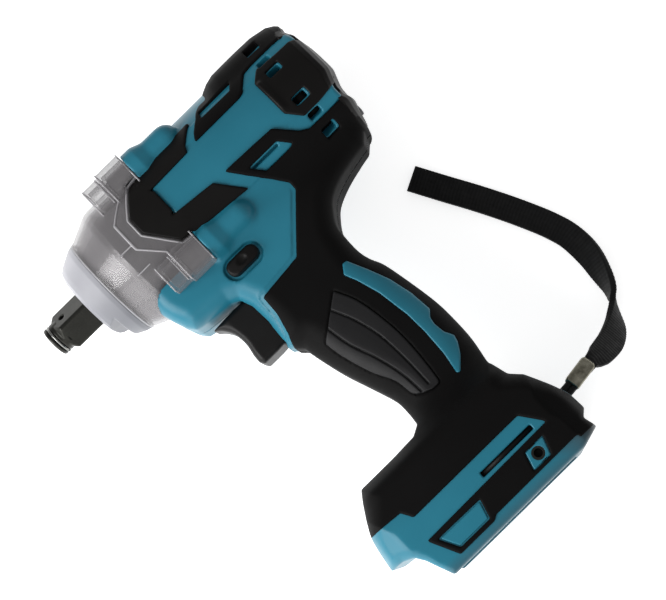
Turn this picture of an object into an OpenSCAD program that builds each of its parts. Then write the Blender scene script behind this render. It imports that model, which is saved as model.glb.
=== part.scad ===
// Cordless impact wrench, 1/2 inch square drive, pistol grip with a slide battery foot.
// Millimetres. +X along the drive axis towards the nose, +Y down the grip, +Z out of the
// tool's left side. The origin is on the drive axis where the square drive leaves the nose.

/* [Drive] */
// Across-flats size of the square drive
drive_af = 12.7; // [9.5:0.1:19.1]
// Length of the drive outside the nose
drive_len = 20.7; // [18:0.1:24]
// Radius of the anvil's round journal
anvil_r = 8; // [7.5:0.1:8.4]

/* [Barrel] */
// Outer radius of the motor housing shells
barrel_r = 29.3; // [29:0.1:30]
// Wall of the housing shells
wall = 2.5; // [2:0.1:2.6]
// Thickness of the rubber overmould
skin = 1.2; // [0.8:0.1:1.4]
// Distance of the case bosses from the drive axis
boss_at = 30; // [29.5:0.1:31]
// Radius of the case bosses
boss_r = 6.4; // [5.8:0.1:6.6]

/* [Grip and foot] */
// Half width of the foot
foot_w = 37.5; // [36:0.5:39]
// Height of the battery slot's deck below the drive axis
deck_h = 162.5; // [160:0.5:164]
// Half width of the battery slot between its lips
slot_w = 26.5; // [25:0.5:28]
// Bore radius of the belt hook's threaded inserts
hook_r = 1.65; // [1.6:0.05:1.7]

/* [Gear train] */
// Gear module
gm = 0.85; // [0.8:0.01:0.88]
// Teeth on the motor pinion
z_sun = 12; // [12]
// Teeth on each planet gear
z_planet = 18; // [18]
// Flank play of the gears
play = 0.05; // [0.03:0.01:0.08]

/* [Trigger] */
// Travel of the trigger
trig_travel = 7; // [5:0.5:7]
// Width of the trigger
trig_w = 17; // [15:0.5:17.5]

/* [Wrist strap] */
// Width of the webbing
strap_w = 10.8; // [8:0.1:12]
// Thickness of the doubled webbing
strap_t = 2.8; // [2:0.1:3]

/* [Hidden] */
$fn = 64;
XO = 62;                       // nose face, from the housing's own datum
z_ring = z_sun + 2*z_planet;
centre = gm*(z_sun + z_planet)/2;
add = 0.8*gm;
ded = 1.05*gm;
iw = barrel_r - wall;          // bore of the housing shells
trig_z = trig_w/2;

// side profiles, listed as [forward, up] from the drive axis
NECK = [[42.3,-18],[42.3,-27.3],[41,-32],[39.2,-37],[37.4,-40.6],[34.3,-42.3],[20,-42.3],[16.7,-44],
  [15.2,-48.8],[15.4,-57.2],[17.3,-65.8],[18.3,-71.5],[12.7,-75],[10.7,-80.1],[7.8,-91.2],[4,-102.1],
  [1,-111],[0.1,-116],[0.4,-121.8],[1.6,-126.4],[5.3,-129.5],[10,-140],[-34,-140],[-35.3,-133.2],
  [-35.1,-128.3],[-36,-116.9],[-36.8,-106],[-36.6,-96.2],[-34.7,-82.4],[-32.7,-72.5],[-30.4,-67.2],
  [-29.2,-61.7],[-29.4,-54.3],[-31.1,-49.8],[-34.7,-45.6],[-39.1,-42.5],[-46.5,-39.7],[-55.1,-37.6],
  [-61.9,-36],[-66.8,-30.1],[-66.8,-18]];
NECK_FRONT = [[22.5,-18],[21,-30],[20,-35],[19,-40],[17.5,-50],[16.8,-75],[17.6,-100],[17.5,-125],[22,-141]];
NECK_TOP = [[46,21],[20,22.5],[0,22],[-30,18.5],[-68,13.5]];
FOOT = [[33,-129.5],[38.7,-137],[42,-143],[43.3,-146],[44.5,-152],[44.5,-158.8],[39.3,-159.8],
  [35.5,-162],[33,-165.5],[27.3,-176],[-36,-176],[-44.8,-173],[-44.2,-168.2],[-47,-165.5],[-47,-158],
  [-45.5,-151.8],[-40.6,-141.1],[-36.9,-136.8],[-35.1,-129.5]];
FOOT_FRONT = [[28,-129],[33.5,-134],[36,-146],[37.5,-151],[37.5,-160.5],[36.6,-161.5],[36.6,-172],[35.8,-177]];
FOOT_TOP = [[46,24],[42,33],[34,38],[-36,38],[-44,33],[-48,24]];
TEAL = [[-16.5,-16],[-28.5,-29.5],[-10.5,-48.5],[9.5,-50.5],[10,-58.5],[12.4,-67],[15.8,-73.5],[30,-76],
  [60,-60],[60,0],[0,0]];
TRIG = [[33.6,-43],[30.2,-46],[27.7,-50.5],[27.1,-56.5],[28.3,-62.4],[28.6,-65.6],[27.1,-67.6],[19.6,-67.6],
  [9.4,-66.6],[8.4,-46.8],[14,-43]];
SCREWS = [[30,-37],[-26,-41],[-27,-76],[-7,-117],[-28,-126],[37,-147],[-38,-157]];

function yx(p) = [for (q = p) [q.x, -q.y]];
function rev(v) = [for (i = [len(v)-1:-1:0]) v[i]];
function unit(v) = v/norm(v);
// moves every edge of a closed outline inwards by d; s is +1 or -1 with its turning sense
function turn(p) = sign([for (i = 0, a = 0; i <= len(p); a = a + (i < len(p) ? p[i].x*p[(i+1)%len(p)].y
    - p[(i+1)%len(p)].x*p[i].y : 0), i = i + 1) a][len(p)]);
function inset(p, d) = let (n = len(p), s = turn(p)) [for (i = [0:n-1])
    let (a = unit(p[i]-p[(i+n-1)%n]), b = unit(p[(i+1)%n]-p[i]),
         na = s*[-a.y, a.x], nb = s*[-b.y, b.x], k = 1 + na*nb)
    p[i] + d*(na+nb)/max(k, 0.35)];
function both(p, e) = concat([for (q = p) [q.x - e, q.y]], [for (q = rev(p)) [-q.x + e, q.y]]);

// children's +Z laid along +X, starting at x
module ax(x) { translate([x, 0, 0]) rotate([0, 90, 0]) children(); }
// a turned ring or drum between two stations
module drum(x0, x1, r, hole = 0) {
  difference() {
    ax(x0) cylinder(h = x1-x0, r = r);
    if (hole > 0) ax(x0-1) cylinder(h = x1-x0+2, r = hole);
  }
}
module at(x, h, z) { translate([x, -h, z]) children(); }
// box by its limits: forward, up, left
module blk(x0, x1, h0, h1, s0, s1) { translate([x0, -h1, s0]) cube([x1-x0, h1-h0, s1-s0]); }
module side(p, w) { translate([0, 0, -w]) linear_extrude(2*w) polygon(yx(p)); }
// outline given as [half width, up], run along the drive axis
module front(p, e) {
  translate([-90, 0, 0]) rotate([90, 0, 90]) linear_extrude(160)
    polygon([for (q = both(p, e)) [-q.y, q.x]]);
}
// outline given as [forward, half width], run down the grip
module plan(p, e) {
  translate([0, 190, 0]) rotate([90, 0, 0]) linear_extrude(200)
    polygon(concat([for (q = p) [q.x, q.y - e]], [for (q = rev(p)) [q.x, -q.y + e]]));
}
// rounded column that follows the grip's lean
module grip_column(e) {
  at(-4.5, -40, 0) rotate([90, 0, 0]) rotate([0, -7.5, 0]) translate([0, 0, -110]) linear_extrude(132)
    union() {
      square([32-2*e, 26-2*e], center = true);
      square([14-2*e, 35.4-2*e], center = true);
      for (a = [-1, 1]) for (b = [-1, 1]) translate([a*8.2, b*9.2]) circle(r = 8.6-e);
    }
}
module neck_body(e) {
  intersection() {
    side(inset(NECK, e), 40);
    front(NECK_FRONT, e);
    plan(NECK_TOP, e);
  }
}
module foot_body(e) {
  intersection() {
    side(inset(FOOT, e), 50);
    front(FOOT_FRONT, e);
    plan(FOOT_TOP, e);
  }
}
// angular wedge about the drive axis, from a0 to a1 degrees up from the left side
module wedge(x0, x1, a0, a1) {
  n = 8;
  ax(x0) linear_extrude(x1-x0)
    polygon(concat([[0, 0]], [for (i = [0:n]) let (a = a0 + (a1-a0)*i/n) [-50*cos(a), -50*sin(a)]]));
}
module half(k) { // k = 1 keeps the left side, -1 the right
  intersection() {
    children();
    translate([-100, -60, k > 0 ? 0 : -60]) cube([200, 280, 60]);
  }
}
module vents(r0) {
  for (k = [-1, 1]) for (a = [-47, -15, 15, 47]) rotate([a, 0, 0]) at(-55, 0, k*r0) cube([6, 3, 12], center = true);
}
module case_bosses(x0, x1, r) {
  for (a = [45:90:315]) rotate([a, 0, 0]) translate([0, 0, boss_at]) ax(x0) cylinder(h = x1-x0, r = r);
}
module housing_outer() {
  drum(-70, 13, barrel_r);
  case_bosses(-8, 13, boss_r);
  neck_body(skin + 0.05);
  foot_body(0);
}
module housing_void() {
  drum(-80, 14, iw);
  intersection() {
    side(inset(NECK, skin + wall), 40);
    front(NECK_FRONT, skin + wall);
    plan(NECK_TOP, skin + wall);
  }
  // electronics bay of the foot
  intersection() {
    foot_body(wall);
    blk(-60, 60, -deck_h + wall, -120, -50, 50);
  }
  // battery slot, open at the front
  blk(-34, 60, -deck_h - 8, -deck_h, -32, 32);
  blk(-34, 60, -200, -deck_h - 7.9, -slot_w, slot_w);
}
module housing(k) {
  half(k) difference() {
    union() {
      difference() {
        housing_outer();
        housing_void();
      }
      // screw columns
      difference() {
        intersection() {
          for (s = SCREWS) at(s.x, s.y, -40) cylinder(h = 80, r = 3.6);
          union() { neck_body(skin + 0.6); foot_body(0.6); }
        }
        ax(-80) cylinder(h = 95, r = iw);
      }
      // nut pockets of the belt hook
      for (z = [-36.4, 26.4]) at(-23, -166, z) cylinder(h = 10, r = 4.6);
    }
    // nose end clears the hammer case and its bumper
    drum(11.2, 70, barrel_r + 0.3);
    case_bosses(11.6, 33, 7.5);
    // trigger well
    blk(2, 40, -68.4, -42.6, -trig_z-0.4, trig_z+0.4);
    // direction selector bore, across the grip
    at(5, -35.5, -40) linear_extrude(80) union() {
      square([9, 7], center = true);
      for (i = [-1, 1]) translate([i*4.2, 0]) circle(r = 3.5);
    }
    // lamp bore
    at(0, -33, 0) ax(33) cylinder(h = 20, r = 3.25);
    // case screw holes
    case_bosses(1, 14, 2.03);
    // screw holes, from the right side
    for (s = SCREWS) at(s.x, s.y, -45) { cylinder(h = 66, r = 1.75); cylinder(h = 45 - 14, r = 3.1); }
    // belt hook inserts
    for (z = [-40, 28.2]) at(-23, -166, z) cylinder(h = 11.8, r = 3.4);
    // mode panel recess
    blk(14, 31.5, -131.6, -125, -11, 11);
    // strap anchor
    at(0, -156, 0) ax(-50) cylinder(h = 9.8, r = 4.05);
    // barrel vents
    vents(30);
    // recessed grooves of the foot's side bands
    for (z = [-1, 1]) at(-15.5, -157.2, z*foot_w) cube([25, 2, 2.4], center = true);
  }
}
module left_housing() { color("#2f8298") housing(1); }
module right_housing() { color("#2f8298") housing(-1); }

module rubber(k) {
  half(k) difference() {
    union() {
      difference() {
        neck_body(0);
        neck_body(skin);
        side(TEAL, 60);
        blk(-60, 60, -170, -129.5, -60, 60);
        ax(-80) cylinder(h = 200, r = barrel_r);
      }
      // barrel blocks, side tongue and rear saddle
      difference() {
        union() {
          intersection() { drum(-17, 11.6, barrel_r + skin, barrel_r); union() { wedge(-17, 11.6, 15, 38); wedge(-17, 11.6, -38, -15);
             wedge(-17, 11.6, 142, 165); wedge(-17, 11.6, 195, 218); } }
          intersection() { drum(11.25, 25, barrel_r + skin, 28.7); union() { wedge(11.25, 25, -28, 30); wedge(11.25, 25, 150, 208); } }
          intersection() { drum(-45, -21, barrel_r + skin, barrel_r); union() { wedge(-45, -21, 19, 80); wedge(-45, -21, 100, 161);
             wedge(-45, -21, -55, -17); wedge(-45, -21, 197, 235); } }
          intersection() { drum(-62, -34, barrel_r + 3, barrel_r); wedge(-62, -34, 38, 142); }
        }
        case_bosses(-10, 33, 7.6);
      }
    }
    vents(30);
    blk(2, 40, -68.4, -42.6, -trig_z-0.4, trig_z+0.4);
    for (s = SCREWS) at(s.x, s.y, -45) cylinder(h = 40, r = 3.1);
  }
}
module left_grip_rubber() { color("#1b1b1c") rubber(1); }
module right_grip_rubber() { color("#1b1b1c") rubber(-1); }

module rear_cover() {
  color("#1c1c1d") difference() {
    union() {
      ax(-72.4) rotate_extrude() polygon([[0, 0], [21, 0.6], [26.5, 2.2], [29, 4.6], [barrel_r + 1.2, 8.4],
        [barrel_r + 1.2, 10.4], [iw - 0.1, 10.4], [iw - 0.1, 7], [24.5, 4.4], [9.2, 3.6], [9.2, 8.2], [8.03, 8.2], [8.03, 3.4], [0, 3.4]]);
      // side wings with the cooling slots
      intersection() {
        drum(-64, -45, barrel_r + skin + 0.4, barrel_r);
        union() { wedge(-64, -45, -22, 22); wedge(-64, -45, 158, 202); }
      }
    }
    vents(30);
    for (k = [-1, 1]) at(0, k*19, 0) ax(-75) { cylinder(h = 12, r = 1.7); cylinder(h = 4.8, r = 3.1); }
    // housing shells end inside the cover, and the neck starts below it
    drum(-70.001, -60, barrel_r, iw);
    neck_body(0);
  }
}
module rear_cover_screws() {
  color("#6a6a6c") for (k = [-1, 1]) at(0, k*19, 0) { ax(-71.7) cylinder(h = 1.4, r = 3); ax(-70.4) cylinder(h = 5.4, r = 1.6); }
}
module hammer_case() {
  color("#b9bbbd") difference() {
    union() {
      ax(0) rotate_extrude() polygon([[0, 5], [26.6, 5], [26.6, 10.8], [25.5, 11], [25.5, 37], [23.2, 43], [19.6, 50.2],
        [14.2, 56.4], [12.2, 58.4], [12.2, 60.2], [0, 60.2]]);
      case_bosses(11.65, 21.5, 5);
    }
    ax(0) rotate_extrude() polygon([[0, 0], [22.5, 0], [22.5, 38], [21, 43.4], [10.1, 43.4], [10.1, 57], [9.4, 57.2], [9.4, 61], [0, 61]]);
    case_bosses(0, 30, 2.25);
  }
}
module clear_bumper() {
  color([0.82, 0.83, 0.86, 0.45]) difference() {
    union() {
      ax(0) rotate_extrude() polygon([[0, 11.3], [28.3, 11.3], [28.3, 36.4], [25.9, 43], [22.9, 49.8], [0, 49.8]]);
      case_bosses(11.7, 26, 7.2);
      case_bosses(25, 32, 6.5);
    }
    ax(0) rotate_extrude() polygon([[0, 5], [25.7, 5], [25.7, 37.2], [23.4, 43.1], [20.0, 50.3], [0, 50.3]]);
    case_bosses(5, 26.1, 5.2);
    case_bosses(26, 30.5, 4.4);
  }
}
module nose_cover() {
  color([0.86, 0.86, 0.9, 0.8]) difference() {
    ax(0) rotate_extrude() polygon([[13, 50.1], [22.9, 50.1], [20.6, 55.4], [18.8, 59.2], [17.2, 61], [12.4, 62], [12.4, 58.6], [14.6, 56.6], [20, 50.4], [13, 50.4]]);
    ax(40) cylinder(h = 30, r = 12.35);
    ax(0) rotate_extrude() polygon([[0, 48], [20.2, 48], [20.2, 50.2], [14.3, 57.1], [12.3, 59], [0, 59]]);
    blk(56.6, 70, -40, -14.2, -30, 30);
  }
}
module case_screws() {
  color("#5c5d60") { case_bosses(2, 21.5, 2); case_bosses(21.5, 25, 3.8); }
}
module housing_screws() {
  color("#4a4b4d") for (s = SCREWS) at(s.x, s.y, -14 - 2.5) { cylinder(h = 2.5, r = 2.9); translate([0, 0, 2.4]) cylinder(h = 14, r = 1.7); }
}
module square_drive_anvil() {
  color("#38383a") difference() {
    union() {
      ax(43.6) cylinder(h = 18.4, r = anvil_r);
      intersection() {
        ax(38.8) cylinder(h = 4.4, r = 20);
        union() { blk(38.8, 43.2, -20, 20, -4.6, 4.6); ax(38.8) cylinder(h = 4.4, r = 9.4); }
      }
      ax(43) cylinder(h = 1, r = anvil_r);
      intersection() {
        rotate([45, 0, 0]) translate([60, -drive_af/2, -drive_af/2]) cube([18.2, drive_af, drive_af]);
        ax(0) rotate_extrude() polygon([[0, 59], [8.5, 59], [8.5, 75.6], [6.6, 78.2], [0, 78.2]]);
      }
      ax(0) rotate_extrude() polygon([[0, 78], [6.45, 78], [6.45, 79.4], [5.5, 79.4], [5.5, 81], [6.45, 81], [6.45, 82], [5.7, 62 + drive_len], [0, 62 + drive_len]]);
    }
    ax(38) cylinder(h = 5.4, r = 4.05);
    rotate([-45, 0, 0]) at(73.6, 0, 2.6) cylinder(h = 6, r = 1.25);
  }
}
module friction_ring() {
  color("#77787a") difference() { ax(0) rotate_extrude() translate([5.95, 80.2]) circle(r = 0.7, $fn = 24);
    drum(70, 90, 5.52); rotate([45, 0, 0]) at(80.2, 0, 6) cube([3, 1.4, 3], center = true); }
}
module anvil_bush() { color("#8d7a4e") drum(43.9, 56.6, 10.05, anvil_r + 0.04); }
module nose_seal() { color("#202021") drum(57.3, 60, 9.35, anvil_r + 0.1); }
module hammer() {
  color("#55565a") difference() {
    union() {
      drum(17.6, 38.3, 21, 8.06);
      intersection() {
        drum(38.2, 42.8, 20, 10.4);
        blk(38.2, 42.8, -5.6, 5.6, -30, 30);
      }
    }
    ax(10) rotate_extrude() polygon([[11.4, 0], [17.8, 0], [17.8, 20.5], [11.4, 20.5]]);
    for (k = [-1, 1]) at(25, k*8.4, 0) sphere(r = 2.52);
  }
}
module hammer_spring() {
  // a coil is simplified as its stack of turns, a closed sleeve of the wire's thickness
  color("#707276") for (i = [0:4]) ax(9.8 + i*4.2) rotate_extrude() translate([14.6, 0]) circle(r = 1.6, $fn = 24);
}
module spring_washer() { color("#9a9b9d") drum(7.65, 8.15, 18, 8.3); }
module cam_balls() { color("#c9c9cb") for (k = [-1, 1]) at(25, k*8.4, 0) sphere(r = 2.5); }
module spindle_carrier() {
  color("#6d6e72") difference() {
    union() {
      drum(3.6, 7.6, 19);
      drum(-8.6, -6.3, 18);
      for (a = [60:120:300]) rotate([a, 0, 0]) translate([0, 0, 13.5]) ax(-7) cylinder(h = 11, r = 3.1);
      ax(7) cylinder(h = 26, r = 8);
      ax(32) cylinder(h = 10.8, r = 4);
    }
    ax(-9) cylinder(h = 3.2, r = 6.4);
    for (a = [0:120:240]) rotate([a, 0, 0]) translate([0, 0, centre]) ax(-9) cylinder(h = 18, r = 2.22);
    for (k = [-1, 1]) at(0, k*8.4, 0) { at(25, 0, 0) sphere(r = 2.62); at(15.6, 0, 0) sphere(r = 2.62); ax(15.6) cylinder(h = 9.4, r = 2.62); }
    ax(3) cylinder(h = 1.2, r = 6.3);
  }
}
module planet_pins() { color("#b4b5b8") for (a = [0:120:240]) rotate([a, 0, 0]) translate([0, 0, centre]) ax(-8.6) cylinder(h = 16.2, r = 2.2); }
// involute outline; grow > 0 widens the teeth, as for a cutter of an internal gear
function inva(r, rb) = r <= rb ? 0 : let (t = sqrt(pow(r/rb, 2) - 1)) t*180/PI - atan(t);
function gear_pts(z, ra, rf, grow) = let (rp = gm*z/2, rb = rp*cos(20), h0 = 90/z + inva(rp, rb) + grow/rp*180/PI, n = 5)
  [for (i = [0:z-1]) each concat([for (j = [0:n]) let (r = rf + (ra-rf)*j/n, a = i*360/z - h0 + inva(r, rb)) r*[cos(a), sin(a)]],
    [for (j = [n:-1:0]) let (r = rf + (ra-rf)*j/n, a = i*360/z + h0 - inva(r, rb)) r*[cos(a), sin(a)]])];
module planet(k) {
  rotate([120*k, 0, 0]) translate([0, 0, centre]) ax(-5.8) rotate([0, 0, 180/z_planet]) linear_extrude(8.8) difference() {
    polygon(gear_pts(z_planet, gm*z_planet/2 + add, gm*z_planet/2 - ded, -play));
    circle(r = 2.24);
  }
}
module planet_gear_1() { color("#84858a") planet(0); }
module planet_gear_2() { color("#84858a") planet(1); }
module planet_gear_3() { color("#84858a") planet(2); }
module ring_gear() {
  color("#75767a") ax(-6) linear_extrude(9.2) difference() {
    circle(r = 24.4);
    rotate([0, 0, 180/z_ring]) polygon(gear_pts(z_ring, gm*z_ring/2 + ded, gm*z_ring/2 - add, play));
  }
}
module gear_case() {
  color("#2a2a2c") difference() {
    ax(0) rotate_extrude() polygon([[8.05, -16], [20, -16], [iw - 0.3, -12], [iw - 0.3, 4.6], [24.45, 4.6], [24.45, -8.9], [19, -8.9], [19, -10.2], [8.05, -10.2]]);
    for (a = [30:60:330]) rotate([a, 0, 0]) at(-12, 0, 14) ax(-6) cylinder(h = 12, r = 2);
  }
}
module rotor_shaft() {
  color("#aeb0b3") {
    ax(-68.6) cylinder(h = 62.6, r = 4);
    ax(-6.2) linear_extrude(9.6) polygon(gear_pts(z_sun, gm*z_sun/2 + add, gm*z_sun/2 - ded, -play));
  }
}
module rotor_core() {
  color("#55575c") difference() {
    drum(-46, -20, 13, 4.02);
    for (a = [0:90:270]) rotate([a, 0, 0]) blk(-47, -19, -6, 6, 8.6, 11);
  }
}
module rotor_magnets() { color("#8e9094") for (a = [0:90:270]) rotate([a, 0, 0]) blk(-46, -20, -5.9, 5.9, 8.7, 10.9); }
module stator_core() {
  color("#4a4c50") {
    drum(-46, -20, 25.4, 21);
    for (a = [0:60:300]) rotate([a, 0, 0]) { blk(-46, -20, -2.6, 2.6, 14.4, 21.4);
      intersection() { drum(-46, -20, 15.4, 13.5); blk(-46, -20, -5.6, 5.6, 12, 16); } }
  }
}
module stator_coils() {
  color("#b06a35") for (a = [0:60:300]) rotate([a, 0, 0]) difference() { blk(-50, -16.6, -6.2, 6.2, 15.9, 20); blk(-46.4, -19.6, -2.8, 2.8, 12, 22); }
}
module motor_board() { color("#2d5b3c") drum(-52.2, -50.6, 24.5, 9); }
module cooling_fan() {
  color("#26272a") {
    drum(-62.5, -53.4, 8, 4.02);
    drum(-54.6, -53.4, 22.5, 7);
    for (a = [0:30:330]) rotate([a, 0, 0]) rotate([0, 0, 0]) blk(-61.5, -54, -0.5, 0.5, 7.5, 22);
  }
}
module front_bearing() { color("#c0c1c4") drum(-15.4, -10.4, 8, 4.04); }
module rear_bearing() { color("#c0c1c4") drum(-68.8, -64.4, 8, 4.04); }
module switch_unit() {
  color("#2b2b2d") difference() {
    union() { blk(-17, 0.8, -66, -45.6, -9, 9); blk(-14, -2, -73, -65.9, -7, 7); }
    at(0, -55, 0) ax(-9.5) cylinder(h = 12, r = 3.3);
    at(0, -55, 0) ax(-2.4) cylinder(h = 6, r = 5);
  }
}
module trigger() {
  color("#232324") {
    intersection() {
      side(TRIG, trig_z);
      translate([0, -1, 0]) plan([[40, 4.5], [31, 7.2], [28, trig_z], [0, trig_z]], 0);
    }
    at(0, -55, 0) ax(-1.4) cylinder(h = 12, r = 3);
  }
}
module trigger_spring() { color("#8a8b8e") for (i = [0:3]) at(0, -55, 0) ax(-1.4 + i*2.7) rotate_extrude() translate([4.1, 0]) circle(r = 0.45, $fn = 20); }
module direction_selector() {
  color("#1f1f20") at(5, -35.5, -23.4) linear_extrude(46.8) union() {
    square([8.4, 6.4], center = true);
    for (i = [-1, 1]) translate([i*4.2, 0]) circle(r = 3.2);
  }
}
module led_lens() { color([0.95, 0.95, 0.85, 0.7]) at(0, -33, 0) { ax(34) cylinder(h = 5.4, r = 3.2); ax(39) sphere(r = 1.6); } }
module control_board() { color("#2b5a3a") { blk(-30, 24, -157.5, -150, -26, 26); blk(-24, 10, -150.1, -143, -20, 20); } }
module mode_panel() { color("#3a3b3e") { blk(14.4, 31.1, -131.5, -129.3, -10.6, 10.6); at(0, 0, 0) for (z = [-6, 0, 6]) at(22.5, -129.4, z) rotate([90, 0, 0]) translate([0, 0, -0.6]) cylinder(h = 0.9, r = 2); } }
module terminal_block() {
  color("#1d1d1e") difference() {
    blk(-33, -7, -173, -deck_h - 0.1, -14, 14);
    for (z = [-8, 0, 8]) blk(-20, 0, -180, -deck_h - 2, z - 1.6, z + 1.6);
  }
}
module terminal_blades() { color("#b98a4a") for (z = [-8, 0, 8]) blk(-19.9, -9, -171.5, -deck_h - 2.05, z - 0.4, z + 0.4); }
module motor_leads() {
  for (i = [0:2]) color(["#b0322c", "#e0c23a", "#2b4f9c"][i]) at(-20.8, -31, -4 + i*4) rotate([90, 0, 0]) translate([0, 0, -104]) cylinder(h = 104, r = 1.1);
}
module hook_insert(k) {
  color("#a8874a") at(-23, -166, k > 0 ? 28.3 : -36.5) difference() {
    cylinder(h = 8.2, r = 3.38);
    translate([0, 0, -1]) cylinder(h = 12, r = hook_r);
  }
}
module left_hook_insert() { hook_insert(1); }
module right_hook_insert() { hook_insert(-1); }
module lanyard_anchor() {
  color("#2a2a2b") difference() {
    at(0, -156, 0) ax(-47.4) cylinder(h = 7, r = 4);
    for (k = [-1, 1]) at(-46.5, -156, 0) rotate([0, 0, 9]) rotate([0, -19.5, 0]) translate([-8, k*1.6, 0]) ax(0) cylinder(h = 9.6, r = 1.57);
  }
}

// Route of the wrist strap's webbing, as [forward, up, left, tilt of the band in degrees]
ROUTE = [[-63.6, -153.9, -6.4, 180], [-66.7, -154.2, -9, 180], [-70.7, -154, -13, 176], [-75.2, -153.2, -18, 165], [-79.3, -151.5, -22.5, 150],
  [-83.1, -149, -26.5, 130], [-86.5, -145.4, -29.8, 108], [-89.9, -140.6, -31.8, 88], [-92.6, -135.2, -31.7, 68], [-94.4, -129, -32.2, 50],
  [-95.9, -122.6, -33.1, 33], [-96.5, -115.9, -34.3, 18], [-96.1, -109.2, -35.2, 7], [-94.5, -102.7, -36, 0], [-92, -95.9, -36, 0],
  [-87, -84.4, -36, 0], [-80.9, -71.8, -36, 0], [-74.4, -59.4, -36, 0], [-68.1, -47.1, -36, 0]];
function rp(i) = [ROUTE[i].x, -ROUTE[i].y, ROUTE[i].z];
function tang(i) = unit(rp(min(i+1, len(ROUTE)-1)) - rp(max(i-1, 0)));
function wide(i) = let (t = tang(i), f = unit(cross([0, 0, 1], t)), u = cross(t, f)) f*cos(ROUTE[i][3]) + u*sin(ROUTE[i][3]);
function ring8(i) = let (t = tang(i), a = wide(i), b = cross(t, a), w = strap_w/2, h = strap_t/2, c = 0.8)
  [for (q = [[w, h-c], [w-c, h], [-w+c, h], [-w, h-c], [-w, -h+c], [-w+c, -h], [w-c, -h], [w, -h+c]]) rp(i) + a*q.x + b*q.y];
module strap_webbing() {
  n = len(ROUTE);
  color("#161617") polyhedron(
    points = [for (i = [0:n-1]) each ring8(i)],
    faces = concat([[for (j = [0:7]) j]], [for (i = [0:n-2]) for (j = [0:7]) each
      [[i*8+j, (i+1)*8+j, i*8+(j+1)%8], [i*8+(j+1)%8, (i+1)*8+j, (i+1)*8+(j+1)%8]]], [[for (j = [7:-1:0]) (n-1)*8 + j]]));
}
// both ends of the ferrule and the thin cord follow the same drop away from the foot
module along_strap(x0, x1) { // from x0 to x1 on the line from the anchor to the webbing's start
  at(-46.5, -156, 0) rotate([0, 0, -9]) rotate([0, -19, 0]) translate([-x1, 0, 0]) ax(0) children();
}
module strap_cord() { color("#151516") for (k = [-1, 1]) at(-46.5, -156, 0) rotate([0, 0, 9]) rotate([0, -19.5, 0]) translate([-5, k*1.6, 0]) ax(0) cylinder(h = 6.4, r = 1.5); }
module strap_ferrule() { color("#8f8b86") at(-46.5, -156, 0) rotate([0, 0, 9]) rotate([0, -19.5, 0]) blk(-17.3, -5.02, -4.1, 4.1, -2.1, 2.1); }

translate([-XO, 0, 0]) left_housing();
translate([-XO, 0, 0]) right_housing();
translate([-XO, 0, 0]) left_grip_rubber();
translate([-XO, 0, 0]) right_grip_rubber();
translate([-XO, 0, 0]) rear_cover();
translate([-XO, 0, 0]) rear_cover_screws();
translate([-XO, 0, 0]) hammer_case();
translate([-XO, 0, 0]) clear_bumper();
translate([-XO, 0, 0]) nose_cover();
translate([-XO, 0, 0]) case_screws();
translate([-XO, 0, 0]) housing_screws();
translate([-XO, 0, 0]) square_drive_anvil();
translate([-XO, 0, 0]) friction_ring();
translate([-XO, 0, 0]) anvil_bush();
translate([-XO, 0, 0]) nose_seal();
translate([-XO, 0, 0]) hammer();
translate([-XO, 0, 0]) hammer_spring();
translate([-XO, 0, 0]) spring_washer();
translate([-XO, 0, 0]) cam_balls();
translate([-XO, 0, 0]) spindle_carrier();
translate([-XO, 0, 0]) planet_pins();
translate([-XO, 0, 0]) planet_gear_1();
translate([-XO, 0, 0]) planet_gear_2();
translate([-XO, 0, 0]) planet_gear_3();
translate([-XO, 0, 0]) ring_gear();
translate([-XO, 0, 0]) gear_case();
translate([-XO, 0, 0]) rotor_shaft();
translate([-XO, 0, 0]) rotor_core();
translate([-XO, 0, 0]) rotor_magnets();
translate([-XO, 0, 0]) stator_core();
translate([-XO, 0, 0]) stator_coils();
translate([-XO, 0, 0]) motor_board();
translate([-XO, 0, 0]) cooling_fan();
translate([-XO, 0, 0]) front_bearing();
translate([-XO, 0, 0]) rear_bearing();
translate([-XO, 0, 0]) switch_unit();
translate([-XO, 0, 0]) trigger();
translate([-XO, 0, 0]) trigger_spring();
translate([-XO, 0, 0]) direction_selector();
translate([-XO, 0, 0]) led_lens();
translate([-XO, 0, 0]) control_board();
translate([-XO, 0, 0]) mode_panel();
translate([-XO, 0, 0]) terminal_block();
translate([-XO, 0, 0]) terminal_blades();
translate([-XO, 0, 0]) motor_leads();
translate([-XO, 0, 0]) left_hook_insert();
translate([-XO, 0, 0]) right_hook_insert();
translate([-XO, 0, 0]) lanyard_anchor();
translate([-XO, 0, 0]) strap_cord();
translate([-XO, 0, 0]) strap_ferrule();
translate([-XO, 0, 0]) strap_webbing();
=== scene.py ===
import math
import bpy, bmesh
import numpy as np
from mathutils import Vector, Matrix


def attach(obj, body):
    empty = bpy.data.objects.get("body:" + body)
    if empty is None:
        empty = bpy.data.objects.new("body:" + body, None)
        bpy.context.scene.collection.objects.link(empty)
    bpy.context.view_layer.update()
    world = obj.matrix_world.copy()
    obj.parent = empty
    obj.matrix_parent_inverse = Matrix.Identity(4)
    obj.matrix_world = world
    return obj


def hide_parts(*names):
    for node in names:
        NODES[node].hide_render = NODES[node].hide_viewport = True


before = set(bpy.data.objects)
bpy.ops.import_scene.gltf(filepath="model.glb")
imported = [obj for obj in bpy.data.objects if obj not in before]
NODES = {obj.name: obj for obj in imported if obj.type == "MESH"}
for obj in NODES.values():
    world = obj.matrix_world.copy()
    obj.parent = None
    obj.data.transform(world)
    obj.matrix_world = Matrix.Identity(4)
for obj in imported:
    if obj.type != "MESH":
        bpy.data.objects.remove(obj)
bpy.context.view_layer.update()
COL = bpy.context.scene.collection
F4 = np.float32
XO = 62.0
COARSE = 1.0

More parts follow.
